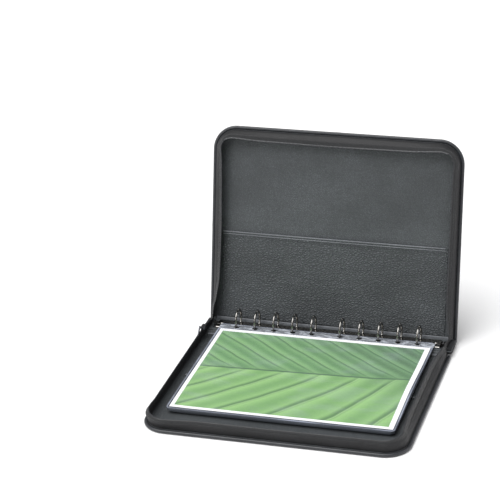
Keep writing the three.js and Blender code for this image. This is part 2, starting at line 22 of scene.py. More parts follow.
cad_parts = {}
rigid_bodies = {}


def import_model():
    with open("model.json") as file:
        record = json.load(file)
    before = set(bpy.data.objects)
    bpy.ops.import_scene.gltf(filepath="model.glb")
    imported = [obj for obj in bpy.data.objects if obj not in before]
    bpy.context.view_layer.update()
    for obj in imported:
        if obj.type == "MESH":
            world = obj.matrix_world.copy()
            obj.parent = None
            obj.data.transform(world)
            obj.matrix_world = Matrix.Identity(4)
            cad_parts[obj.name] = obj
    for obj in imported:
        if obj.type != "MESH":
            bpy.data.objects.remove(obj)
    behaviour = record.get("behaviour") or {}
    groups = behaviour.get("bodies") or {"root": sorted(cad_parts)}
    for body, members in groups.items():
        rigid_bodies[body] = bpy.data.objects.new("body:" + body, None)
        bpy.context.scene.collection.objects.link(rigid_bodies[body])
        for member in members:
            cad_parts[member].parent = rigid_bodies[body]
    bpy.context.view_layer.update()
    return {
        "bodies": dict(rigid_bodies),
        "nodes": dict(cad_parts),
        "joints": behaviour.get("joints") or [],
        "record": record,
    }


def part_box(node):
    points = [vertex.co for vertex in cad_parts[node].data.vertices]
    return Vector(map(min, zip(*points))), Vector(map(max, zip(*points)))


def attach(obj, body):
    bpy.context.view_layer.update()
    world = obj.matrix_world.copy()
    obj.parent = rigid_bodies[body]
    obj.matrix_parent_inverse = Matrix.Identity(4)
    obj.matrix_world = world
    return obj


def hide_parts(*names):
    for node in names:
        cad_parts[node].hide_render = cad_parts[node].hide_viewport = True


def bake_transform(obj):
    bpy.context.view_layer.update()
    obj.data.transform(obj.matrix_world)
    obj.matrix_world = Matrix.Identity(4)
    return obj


log = logging.getLogger("portfolio")
MM = 0.001
Point = tuple[float, float, float]
Flat = tuple[float, float]
Colour = tuple[float, float, float, float]


def channel(c: float) -> float:
    """Turns one display channel, from 0 to 1, into its linear value."""
    return c / 12.92 if c <= 0.04045 else ((c + 0.055) / 1.055) ** 2.4


def linear(r: int, g: int, b: int) -> Colour:
    """Turns an 8-bit display colour into the linear colour that shaders take."""
    return (channel(r / 255), channel(g / 255), channel(b / 255), 1.0)


def toned(colour: Colour, gain: float, lift: float = 0.0) -> Colour:
    """A lighter or darker tone of a colour."""
    return tuple(min(c * gain + lift, 1.0) for c in colour[:3]) + (1.0,)


def smooth(t: float) -> float:
    """A smooth step from 0 to 1."""
    t = min(max(t, 0.0), 1.0)
    return t * t * (3 - 2 * t)


# ------------------------------------------------------------------ the frame's facts
class Side(Enum):
    """Which cover a piece belongs to."""

    BACK = "back"
    FRONT = "front"


@dataclass(frozen=True)
class CaseFrame:
    """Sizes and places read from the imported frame, in millimetres.

    Args:
        half_width: half of the case's width.
        depth: from a hinge line to the free edge of its cover.
        thickness: of a cover.
        hinge_a: (y, z) of the fold between the lower cover and the spine.
        hinge_b: (y, z) of the fold between the spine and the lid.
        ring: (y, z) of the rings' centre line.
        lean: how far the open lid leans back past upright, in radians.
    """

    half_width: float
    depth: float
    thickness: float
    hinge_a: Flat
    hinge_b: Flat
    ring: Flat
    lean: float

    @classmethod
    def read(cls, frame: dict) -> "CaseFrame":
        """Reads the facts.

        Args:
            frame: the loaded frame.

        Returns:
            The case's sizes and places.
        """
        joints = {j["name"]: j for j in frame["joints"]}
        low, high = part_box("back_edge_binding")
        place = {
            name: tuple(v / MM for v in joints[name]["pos_m"][1:])
            for name in ("spine_fold", "lid_fold", "page_turn")
        }
        return cls(
            half_width=high.x / MM,
            depth=(high.y - low.y) / MM,
            thickness=(high.z - low.z) / MM,
            hinge_a=place["spine_fold"],
            hinge_b=place["lid_fold"],
            ring=place["page_turn"],
            lean=-math.radians(joints["lid_fold"]["range_deg"][0]),
        )


@dataclass(frozen=True)
class CoverSpace:
    """A cover's own space: u along the spine, v from the hinge line, w in from the inner face."""

    case: CaseFrame
    side: Side

    def at(self, u: float, v: float, w: float) -> Point:
        """Places a point of the cover in the case's frame.

        Args:
            u: along the spine.
            v: from the hinge line towards the free edge.
            w: in from the cover's inner face.

        Returns:
            The point, in millimetres.
        """
        if self.side is Side.BACK:
            y, z = self.case.hinge_a
            return (u, y - v, z + w)
        y, z = self.case.hinge_b
        sin, cos = math.sin(self.case.lean), math.cos(self.case.lean)
        return (u, y + v * sin - w * cos, z + v * cos + w * sin)

    @property
    def body(self) -> str:
        """The body that the cover's pieces ride on."""
        return f"{self.side.value}_cover"

    def node(self, name: str) -> str:
        """The name of one of the cover's nodes."""
        return f"{self.side.value}_{name}"


@dataclass(frozen=True)
class Station:
    """A place on a cover's outline: (u, v), the inward direction, and how far round it is.

    ``q`` runs 0 to 1 down the left side, 1 to 2 along the free edge and 2 to 3 back to the hinge.
    """

    u: float
    v: float
    nu: float
    nv: float
    q: float

    def inset(self, by: float) -> Flat:
        """The point this far inside the outline."""
        return (self.u + self.nu * by, self.v + self.nv * by)


def outline(case: CaseFrame, radius: float, start: float, step: float = 5.0) -> list[Station]:
    """Walks a cover's outline from the left hinge end, round the free edge, to the right hinge end.

    Args:
        case: the case's sizes.
        radius: of the two round corners.
        start: how far from the hinge line the walk begins and ends.
        step: the spacing of the stations on the straights.

    Returns:
        The stations in order.
    """
    half, depth = case.half_width, case.depth
    side_length, free_length = depth - radius - start, 2 * (half - radius)
    side = max(2, round(side_length / step))
    free = max(2, round(free_length / step))
    turns = 14
    found = [(-half, start + side_length * i / side, 1.0, 0.0, 0.9 * i / side) for i in range(side)]
    for i in range(turns + 1):
        a = math.pi - math.pi / 2 * i / turns
        u, v = -half + radius + radius * math.cos(a), depth - radius + radius * math.sin(a)
        found.append((u, v, -math.cos(a), -math.sin(a), 0.9 + 0.2 * i / turns))
    for i in range(1, free):
        share = i / free
        found.append((-half + radius + free_length * share, depth, 0.0, -1.0, 1.1 + 0.8 * share))
    mirrored = [(-u, v, -nu, nv, 3 - q) for u, v, nu, nv, q in reversed(found[: side + turns + 1])]
    return [Station(*s) for s in found + mirrored]


# ------------------------------------------------------------------ meshes
class MeshMaker:
    """Gathers points and faces, in millimetres, and turns them into one object."""

    def __init__(self) -> None:
        """Starts empty."""
        self.points: list[Point] = []
        self.faces: list[tuple[int, ...]] = []

    def loft(self, sections: Sequence[Sequence[Point]], loop: bool = False) -> None:
        """Joins equal sections in order, each a closed ring of points.

        Args:
            sections: lists of points, all of one length.
            loop: whether the last section joins the first; otherwise both ends are closed.
        """
        first = len(self.points)
        count = len(sections[0])
        for section in sections:
            self.points.extend(tuple(p) for p in section)
        spans = len(sections) if loop else len(sections) - 1
        for i in range(spans):
            here, there = first + i * count, first + ((i + 1) % len(sections)) * count
            for j in range(count):
                k = (j + 1) % count
                self.faces.append((here + j, here + k, there + k, there + j))
        if not loop:
            last = first + (len(sections) - 1) * count
            self.faces.append(tuple(first + j for j in range(count)))
            self.faces.append(tuple(last + j for j in reversed(range(count))))

    def brick(self, centre: Point, axes: Sequence[Point], size: Point, taper: float = 0.75) -> None:
        """Adds a small block with narrowed ends, such as a stitch or a zip tooth.

        Args:
            centre: its middle.
            axes: three unit directions.
            size: its length along each axis.
            taper: how wide the ends are against the middle.
        """
        a, b, c = (Vector(v) for v in axes)
        corners = ((-1, -1), (1, -1), (1, 1), (-1, 1))
        rows = []
        for along, share in ((-0.5, taper), (-0.28, 1.0), (0.28, 1.0), (0.5, taper)):
            middle = Vector(centre) + a * (along * size[0])
            half_b, half_c = size[1] / 2 * share, size[2] / 2 * share
            rows.append([tuple(middle + b * (x * half_b) + c * (y * half_c)) for x, y in corners])
        self.loft(rows)

    def make(self, name: str, sharp_deg: float = 40.0, weld: float = 0.0) -> bpy.types.Object:
        """Makes the object, with its faces pointing out.

        Args:
            name: the object's name.
            sharp_deg: edges that turn by more stay crisp.
            weld: points closer than this, in millimetres, are merged.

        Returns:
            The new object.
        """
        mesh = bpy.data.meshes.new(name)
        mesh.from_pydata([tuple(c * MM for c in p) for p in self.points], [], self.faces)
        work = bmesh.new()
        work.from_mesh(mesh)
        if weld:
            bmesh.ops.remove_doubles(work, verts=work.verts, dist=weld * MM)
        bmesh.ops.recalc_face_normals(work, faces=work.faces)
        work.to_mesh(mesh)
        work.free()
        mesh.shade_smooth()
        mesh.set_sharp_from_angle(angle=math.radians(sharp_deg))
        made = bpy.data.objects.new(name, mesh)
        bpy.context.scene.collection.objects.link(made)
        return made


def rounded_section(width: float, height: float, radius: float, steps: int = 4) -> list[Flat]:
    """A rounded rectangle about the origin.

    Args:
        width: its whole width.
        height: its whole height.
        radius: of its corners.
        steps: in each corner.

    Returns:
        Its outline as a ring of points.
    """
    across, up = width / 2 - radius, height / 2 - radius
    ring = []
    for cx, cy, start in ((1, 1, 0), (-1, 1, 90), (-1, -1, 180), (1, -1, 270)):
        for i in range(steps + 1):
            a = math.radians(start + 90 * i / steps)
            ring.append((cx * across + radius * math.cos(a), cy * up + radius * math.sin(a)))
    return ring


def thick_path(path: Sequence[Flat], thickness: Sequence[float]) -> list[Flat]:
    """Turns an open path in a plane into a closed ribbon section with pointed ends.

    Args:
        path: the ribbon's middle line.
        thickness: at each of its points.

    Returns:
        The section as a ring of points.
    """
    points = np.array(path, float)
    along = np.gradient(points, axis=0)
    along /= np.linalg.norm(along, axis=1)[:, None]
    normal = np.stack([-along[:, 1], along[:, 0]], axis=1)
    half = np.array(thickness)[:, None] / 2
    near, far = points + normal * half, points - normal * half
    tip = points[-1] + along[-1] * half[-1]
    foot = points[0] - along[0] * half[0]
    return [tuple(p) for p in (*near, tip, *far[::-1], foot)]


@dataclass(frozen=True)
class Slab:
    """A panel with gently uneven faces and rounded rims.

    Args:
        place: turns (u, v, w) into the case's frame.
        u: low and high u.
        v: low and high v.
        w: low and high w.
        corner: radius of the two corners at high v.
        rim: radius of the rounded rim.
        swell: extra w on the upper face at (u, v).
        spacing: of the grid.
    """

    place: Callable[[float, float, float], Point]
    u: Flat
    v: Flat
    w: Flat
    corner: float = 0.0
    rim: float = 0.4
    swell: Callable[[float, float], float] = lambda u, v: 0.0
    spacing: float = 6.0

    def _lines(self, low: float, high: float) -> list[float]:
        """Places grid lines, closer together near both rims.

        Args:
            low: one rim.
            high: the other.

        Returns:
            The lines' places.
        """
        count = max(4, round((high - low) / self.spacing))
        inner = list(np.linspace(low + 2.5, high - 2.5, count))
        edge = [0.0, 0.1, 0.35, 0.9, 1.6]
        return [low + e for e in edge] + inner + [high - e for e in reversed(edge)]

    def _inside(self, u: float, v: float) -> tuple[float, float, float]:
        """Pulls a point inside the round corners.

        Args:
            u: its place across.
            v: its place up.

        Returns:
            The new u and v, and the distance from the rim.
        """
        (u0, u1), (v0, v1) = self.u, self.v
        middle, half = (u0 + u1) / 2, (u1 - u0) / 2
        rim = min(half - abs(u - middle), v1 - v, v - v0)
        du, dv = abs(u - middle) - (half - self.corner), v - v1 + self.corner
        if self.corner and du > 0 and dv > 0:
            # A square corner's point moves along the square's own contour onto the arc's.
            reach, length = max(du, dv), math.hypot(du, dv)
            u = middle + math.copysign(half - self.corner + du * reach / length, u - middle)
            v = v1 - (self.corner - dv * reach / length)
            rim = self.corner - reach
        return u, v, rim

    def make(self, name: str) -> bpy.types.Object:
        """Builds the slab as one closed object.

        Args:
            name: the object's name.

        Returns:
            The new object.
        """
        us, vs = self._lines(*self.u), self._lines(*self.v)
        maker = MeshMaker()
        index: dict[tuple[int, int, int], int] = {}
        for face, w in enumerate(self.w):
            for i, u in enumerate(us):
                for j, v in enumerate(vs):
                    x, y, rim = self._inside(u, v)
                    short = max(self.rim - rim, 0.0)
                    drop = self.rim - math.sqrt(max(self.rim**2 - short**2, 0.0))
                    level = w - drop + self.swell(x, y) if face else w + drop * 0.5
                    index[face, i, j] = len(maker.points)
                    maker.points.append(self.place(x, y, level))
        nu, nv = len(us), len(vs)
        for i in range(nu - 1):
            for j in range(nv - 1):
                a, b, c, d = ((0, i, j), (0, i + 1, j), (0, i + 1, j + 1), (0, i, j + 1))
                maker.faces.append(tuple(index[k] for k in (a, b, c, d)))
                maker.faces.append(tuple(index[(1, *k[1:])] for k in (d, c, b, a)))
        border = [(i, 0) for i in range(nu)] + [(nu - 1, j) for j in range(1, nv)]
        border += [(i, nv - 1) for i in range(nu - 2, -1, -1)] + [(0, j) for j in range(nv - 2, 0, -1)]
        for here, there in zip(border, border[1:] + border[:1]):
            corners = ((0, *here), (0, *there), (1, *there), (1, *here))
            maker.faces.append(tuple(index[k] for k in corners))
        return maker.make(name, sharp_deg=50)


def stitch_row(maker: MeshMaker, path: Sequence[Point], up: Callable[[int], Vector], pitch: float = 3.2,
               length: float = 2.3, width: float = 0.55, height: float = 0.4) -> None:
    """Adds stitches along a path.

    Args:
        maker: takes the stitches.
        path: points along the row.
        up: the surface's direction at a point's index.
        pitch: from one stitch to the next.
        length: of a stitch.
        width: of the thread.
        height: how far the thread stands up.
    """
    points = np.array(path, float)
    steps = np.linalg.norm(np.diff(points, axis=0), axis=1)
    run = np.concatenate([[0.0], np.cumsum(steps)])
    for distance in np.arange(pitch / 2, run[-1], pitch):
        k = min(int(np.searchsorted(run, distance)) - 1, len(steps) - 1)
        share = (distance - run[k]) / max(steps[k], 1e-9)
        middle = points[k] + (points[k + 1] - points[k]) * share
        along = Vector(points[k + 1] - points[k]).normalized()
        rise = up(k).normalized()
        across = rise.cross(along).normalized()
        maker.brick(tuple(middle), (along, across, rise), (length, width, height), taper=0.45)


# ------------------------------------------------------------------ shader building
class Shader:
    """Adds nodes to one material or group and links them."""

    def __init__(self, tree: bpy.types.NodeTree) -> None:
        """Takes the tree to fill."""
        self.tree = tree
        self.column = 0

    def add(self, kind: str, inputs: dict | None = None, **settings: object) -> bpy.types.Node:
        """Adds a node.

        Args:
            kind: its Blender type.
            inputs: socket name or number to a value or to another node's output.
            settings: the node's own properties.

        Returns:
            The node.
        """
        node = self.tree.nodes.new(kind)
        node.location = (self.column * 190 % 2400, -320 * (self.column * 190 // 2400))
        self.column += 1
        for key, value in settings.items():
            setattr(node, key, value)
        for key, value in (inputs or {}).items():
            if isinstance(value, bpy.types.NodeSocket):
                self.tree.links.new(value, node.inputs[key])
            else:
                node.inputs[key].default_value = value
        return node

    def link(self, start: bpy.types.NodeSocket, end: bpy.types.NodeSocket) -> None:
        """Links an output to an input."""
        self.tree.links.new(start, end)

    def group(self, tree: bpy.types.NodeTree, vector: bpy.types.NodeSocket,
              **values: float) -> bpy.types.Node:
        """Places a shared group.

        Args:
            tree: the group.
            vector: its coordinates.
            values: its other inputs, by name.

        Returns:
            The node.
        """
        node = self.add("ShaderNodeGroup", node_tree=tree)
        self.link(vector, node.inputs["Vector"])
        for name, value in values.items():
            node.inputs[name].default_value = value
        return node

    def math(self, operation: str, a: bpy.types.NodeSocket | float, b: bpy.types.NodeSocket | float = 0.0,
             clamp: bool = False) -> bpy.types.NodeSocket:
        """A Math node's output."""
        return self.add("ShaderNodeMath", {0: a, 1: b}, operation=operation, use_clamp=clamp).outputs[0]

    def distance(self, value: bpy.types.NodeSocket, centre: float) -> bpy.types.NodeSocket:
        """How far a value is from a centre."""
        return self.math("ABSOLUTE", self.math("SUBTRACT", value, centre))

    def mix(self, factor: bpy.types.NodeSocket | float, a: bpy.types.NodeSocket | Colour,
            b: bpy.types.NodeSocket | Colour) -> bpy.types.NodeSocket:
        """Mixes two colours.

        Args:
            factor: the share of the second.
            a: the first colour.
            b: the second colour.

        Returns:
            The mixed colour.
        """
        node = self.add("ShaderNodeMix", data_type="RGBA")
        for socket, value in ((node.inputs[0], factor), (node.inputs[6], a), (node.inputs[7], b)):
            if isinstance(value, bpy.types.NodeSocket):
                self.tree.links.new(value, socket)
            else:
                socket.default_value = value
        return node.outputs[2]

    def between(self, value: bpy.types.NodeSocket, low: float, high: float, to_low: float = 0.0,
                to_high: float = 1.0) -> bpy.types.NodeSocket:
        """Maps a value from one range to another, with a smooth step.

        Args:
            value: what is mapped.
            low: where the step begins.
            high: where it ends.
            to_low: the result up to low.
            to_high: the result from high on.

        Returns:
            The mapped value.
        """
        numbers = {1: low, 2: high, 3: to_low, 4: to_high}
        node = self.add("ShaderNodeMapRange", {0: value, **numbers}, interpolation_type="SMOOTHSTEP")
        return node.outputs[0]

    def noise(self, vector: bpy.types.NodeSocket, scale: float, detail: float = 3.0,
              rough: float = 0.5) -> bpy.types.NodeSocket:
        """A noise texture's value."""
        inputs = {"Vector": vector, "Scale": scale, "Detail": detail, "Roughness": rough}
        return self.add("ShaderNodeTexNoise", inputs).outputs["Fac"]

    def bump(self, height: bpy.types.NodeSocket, strength: float, depth: float) -> bpy.types.NodeSocket:
        """A normal that follows a height, whose depth is in millimetres."""
        inputs = {"Strength": strength, "Distance": depth * MM, "Height": height}
        return self.add("ShaderNodeBump", inputs).outputs[0]


class Groups:
    """The shader groups that several finishes share, each built once."""

    _made: dict[str, bpy.types.NodeTree] = {}

    @classmethod
    def _start(cls, name: str, numbers: dict[str, float], outputs: Sequence[str]) -> Shader:
        """Opens a new group, which takes coordinates and numbers and puts out numbers.

        Args:
            name: the group's name.
            numbers: each number that it takes, with its usual value.
            outputs: the names of its outputs.

        Returns:
            The group's shader builder.
        """
        tree = bpy.data.node_groups.new(name, "ShaderNodeTree")
        tree.interface.new_socket("Vector", in_out="INPUT", socket_type="NodeSocketVector")
        for label, default in numbers.items():
            socket = tree.interface.new_socket(label, in_out="INPUT", socket_type="NodeSocketFloat")
            socket.default_value = default
        for label in outputs:
            tree.interface.new_socket(label, in_out="OUTPUT", socket_type="NodeSocketFloat")
        cls._made[name] = tree
        return Shader(tree)

    @classmethod
    def leather(cls) -> bpy.types.NodeTree:
        """Pebbled leather: rounded cells with creases between them, and a fine second grain.

        Returns:
            The group.
        """
        name = "Leather grain"
        if name in cls._made:
            return cls._made[name]
        sh = cls._start(name, {"Cells": 900.0, "Wrinkle": 0.4}, ("Height", "Crease", "Tone"))
        given = sh.add("NodeGroupInput")
        where = given.outputs["Vector"]
        sway = (0.0011, 0.0011, 0.0011)
        warp = sh.add("ShaderNodeTexNoise", {"Vector": where, "Scale": 260.0, "Detail": 2.0})
        shift = sh.add("ShaderNodeVectorMath", {0: warp.outputs["Color"], 1: sway}, operation="MULTIPLY")
        moved = sh.add("ShaderNodeVectorMath", {0: where, 1: shift.outputs[0]}, operation="ADD")
        cell_inputs = {"Vector": moved.outputs[0], "Scale": given.outputs["Cells"]}
        cells = sh.add("ShaderNodeTexVoronoi", cell_inputs, feature="DISTANCE_TO_EDGE")
        dome = sh.between(cells.outputs["Distance"], 0.0, 0.32)
        fine = sh.noise(where, 2600.0, 3.0)
        folds = sh.noise(where, 70.0, 4.0, 0.6)
        height = sh.math("ADD", sh.math("MULTIPLY", dome, 0.8), sh.math("MULTIPLY", fine, 0.16))
        height = sh.math("ADD", height, sh.math("MULTIPLY", folds, given.outputs["Wrinkle"]))
        tone = sh.noise(where, 16.0, 5.0, 0.62)
        crease = sh.math("SUBTRACT", 1.0, dome)
        sh.add("NodeGroupOutput", {"Height": height, "Crease": crease, "Tone": tone})
        return cls._made[name]

    @classmethod
    def wear(cls) -> bpy.types.NodeTree:
        """Edge wear: a mask that is high where the surface turns sharply outwards, broken by noise.

        Returns:
            The group.
        """
        name = "Edge wear"
        if name in cls._made:
            return cls._made[name]
        sh = cls._start(name, {"Amount": 0.5}, ("Mask", "Dust"))
        given = sh.add("NodeGroupInput")
        turn = sh.add("ShaderNodeNewGeometry").outputs["Pointiness"]
        ridge = sh.between(turn, 0.51, 0.6)
        patch = sh.between(sh.noise(given.outputs["Vector"], 130.0, 4.0), 0.35, 0.7)
        mask = sh.math("MULTIPLY", sh.math("MULTIPLY", ridge, patch), given.outputs["Amount"], clamp=True)
        dust = sh.between(sh.noise(given.outputs["Vector"], 38.0, 6.0, 0.7), 0.45, 0.8)
        sh.add("NodeGroupOutput", {"Mask": mask, "Dust": dust})
        return cls._made[name]

    @classmethod
    def weave(cls) -> bpy.types.NodeTree:
        """Woven tape: two crossed sets of threads.

        Returns:
            The group.
        """
        name = "Tape weave"
        if name in cls._made:
            return cls._made[name]
        sh = cls._start(name, {"Threads": 1100.0}, ("Height", "Tone"))
        given = sh.add("NodeGroupInput")
        x, y, z = sh.add("ShaderNodeSeparateXYZ", {0: given.outputs["Vector"]}).outputs
        threads = given.outputs["Threads"]
        waves = []
        for way in (sh.math("ADD", x, y), sh.math("SUBTRACT", sh.math("ADD", x, z), y)):
            wave = sh.math("SINE", sh.math("MULTIPLY", way, threads))
            waves.append(sh.math("MULTIPLY", wave, 3.0))
        height = sh.math("MAXIMUM", *waves)
        tone = sh.noise(given.outputs["Vector"], 400.0, 3.0)
        sh.add("NodeGroupOutput", {"Height": height, "Tone": tone})
        return cls._made[name]


# ------------------------------------------------------------------ finishes
def new_material(name: str) -> tuple[bpy.types.Material, Shader, bpy.types.Node]:
    """Starts a material.

    Args:
        name: the material's name.

    Returns:
        The material, a shader builder for it, and its Principled node.
    """
    material = bpy.data.materials.new(name)
    material.use_nodes = True
    material.node_tree.nodes.clear()
    sh = Shader(material.node_tree)
    surface = sh.add("ShaderNodeBsdfPrincipled")
    sh.add("ShaderNodeOutputMaterial", {"Surface": surface.outputs[0]})
    return material, sh, surface


def object_space(sh: Shader, scale: Point = (1.0, 1.0, 1.0)) -> bpy.types.NodeSocket:
    """The piece's own coordinates, stretched."""
    where = sh.add("ShaderNodeTexCoord").outputs["Object"]
    return sh.add("ShaderNodeMapping", {"Vector": where, "Scale": scale}).outputs[0]


@dataclass(frozen=True)
class Leather:
    """A leatherette.

    Args:
        name: the material's name.
        colour: display colour of its face.
        cells: grain cells per metre.
        depth: height of the grain in millimetres.
        rough: roughness of the face.
        stretch: how the grain is drawn out.
        wrinkle: share of the larger folds.
        wear: how far edges are rubbed.
    """

    name: str
    colour: tuple[int, int, int]
    cells: float = 900.0
    depth: float = 0.12
    rough: float = 0.5
    stretch: Point = (1.0, 1.0, 1.0)
    wrinkle: float = 0.4
    wear: float = 0.4

    def make(self) -> bpy.types.Material:
        """Builds the material.

        Returns:
            The material.
        """
        material, sh, surface = new_material(self.name)
        where = object_space(sh, self.stretch)
        grain = sh.group(Groups.leather(), where, Cells=self.cells, Wrinkle=self.wrinkle)
        rub = sh.group(Groups.wear(), where, Amount=self.wear)
        face = linear(*self.colour)
        crease_shade, light, worn = toned(face, 0.5), toned(face, 1.35, 0.004), toned(face, 2.1, 0.02)
        tone = sh.mix(sh.between(grain.outputs["Tone"], 0.3, 0.7), toned(face, 0.86), light)
        # Painted shade: the grain's creases are darkened towards half the face colour, as if in shade.
        crease_shaded = sh.mix(sh.math("MULTIPLY", grain.outputs["Crease"], 0.65), tone, crease_shade)
        rough = sh.math("ADD", sh.math("MULTIPLY", grain.outputs["Crease"], 0.16), self.rough)
        rough = sh.math("ADD", rough, sh.math("MULTIPLY", rub.outputs["Dust"], 0.06), clamp=True)
        sh.link(sh.mix(rub.outputs["Mask"], crease_shaded, worn), surface.inputs["Base Color"])
        sh.link(rough, surface.inputs["Roughness"])
        sh.link(sh.bump(grain.outputs["Height"], 0.9, self.depth), surface.inputs["Normal"])
        surface.inputs["Specular IOR Level"].default_value = 0.5
        return material


@dataclass(frozen=True)
class Metal:
    """A polished or satin metal with faint scuffs."""

    name: str
    colour: tuple[int, int, int]
    rough: float = 0.12
    scuff: float = 0.1

    def make(self) -> bpy.types.Material:
        """Builds the material.

        Returns:
            The material.
        """
        material, sh, surface = new_material(self.name)
        where = object_space(sh)
        rub = sh.group(Groups.wear(), where)
        rough = sh.math("ADD", sh.math("MULTIPLY", rub.outputs["Dust"], self.scuff), self.rough)
        scratch = sh.noise(object_space(sh, (1.0, 9.0, 1.0)), 900.0, 4.0)
        face = linear(*self.colour)
        sh.link(sh.mix(rub.outputs["Dust"], face, toned(face, 0.8)), surface.inputs["Base Color"])
        sh.link(rough, surface.inputs["Roughness"])
        sh.link(sh.bump(scratch, 0.12, 0.02), surface.inputs["Normal"])
        surface.inputs["Metallic"].default_value = 1.0
        return material


@dataclass(frozen=True)
class Tape:
    """Woven zip tape, with its threads in radians per metre."""

    name: str
    colour: tuple[int, int, int]
    threads: float = 7000.0

    def make(self) -> bpy.types.Material:
        """Builds the material.

        Returns:
            The material.
        """
        material, sh, surface = new_material(self.name)
        where = object_space(sh)
        weave = sh.group(Groups.weave(), where, Threads=self.threads)
        face = linear(*self.colour)
        colour = sh.mix(sh.between(weave.outputs["Tone"], 0.35, 0.7), face, toned(face, 1.7))
        sh.link(colour, surface.inputs["Base Color"])
        sh.link(sh.bump(weave.outputs["Height"], 0.7, 0.08), surface.inputs["Normal"])
        surface.inputs["Roughness"].default_value = 0.8
        surface.inputs["Sheen Weight"].default_value = 0.15
        return material


@dataclass(frozen=True)
class Plastic:
    """A plain moulded or spun plastic with a little unevenness, such as zip teeth or thread."""

    name: str
    colour: tuple[int, int, int]
    rough: float = 0.4

    def make(self) -> bpy.types.Material:
        """Builds the material.

        Returns:
            The material.
        """
        material, sh, surface = new_material(self.name)
        where = object_space(sh)
        tone = sh.noise(where, 900.0, 3.0)
        face = linear(*self.colour)
        rough = sh.between(tone, 0.2, 0.8, self.rough - 0.08, self.rough + 0.1)
        sh.link(sh.mix(sh.between(tone, 0.3, 0.7), toned(face, 0.7), face), surface.inputs["Base Color"])
        sh.link(rough, surface.inputs["Roughness"])
        sh.link(sh.bump(tone, 0.3, 0.05), surface.inputs["Normal"])
        return material


@dataclass(frozen=True)
class Film:
    """Clear film: nearly unseen where it lies flat, with streaks of painted highlight, lighter and more
    opaque, where it is wavy.

    Args:
        name: the material's name.
        colour: display colour of the streaks.
        clear: alpha of the clear parts.
        highlight_alpha: alpha of the streaks.
        streak: streaks per metre.
    """

    name: str
    colour: tuple[int, int, int]
    clear: float = 0.1
    highlight_alpha: float = 0.5
    streak: float = 60.0

    def make(self) -> bpy.types.Material:
        """Builds the material.

        Returns:
            The material.
        """
        material, sh, surface = new_material(self.name)
        where = object_space(sh, (1.0, 2.4, 1.0))
        wave = sh.noise(where, self.streak, 4.0, 0.55)
        # The streaks are painted highlight: along the noise's waves the film is lighter and less clear.
        highlight_mask = sh.between(wave, 0.46, 0.66)
        alpha = sh.math("ADD", sh.math("MULTIPLY", highlight_mask, self.highlight_alpha - self.clear), self.clear, clamp=True)
        face = linear(*self.colour)
        sh.link(sh.mix(highlight_mask, toned(face, 0.6), face), surface.inputs["Base Color"])
        sh.link(alpha, surface.inputs["Alpha"])
        sh.link(sh.bump(wave, 0.5, 0.9), surface.inputs["Normal"])
        surface.inputs["Roughness"].default_value = 0.16
        surface.inputs["Specular IOR Level"].default_value = 0.9
        return material


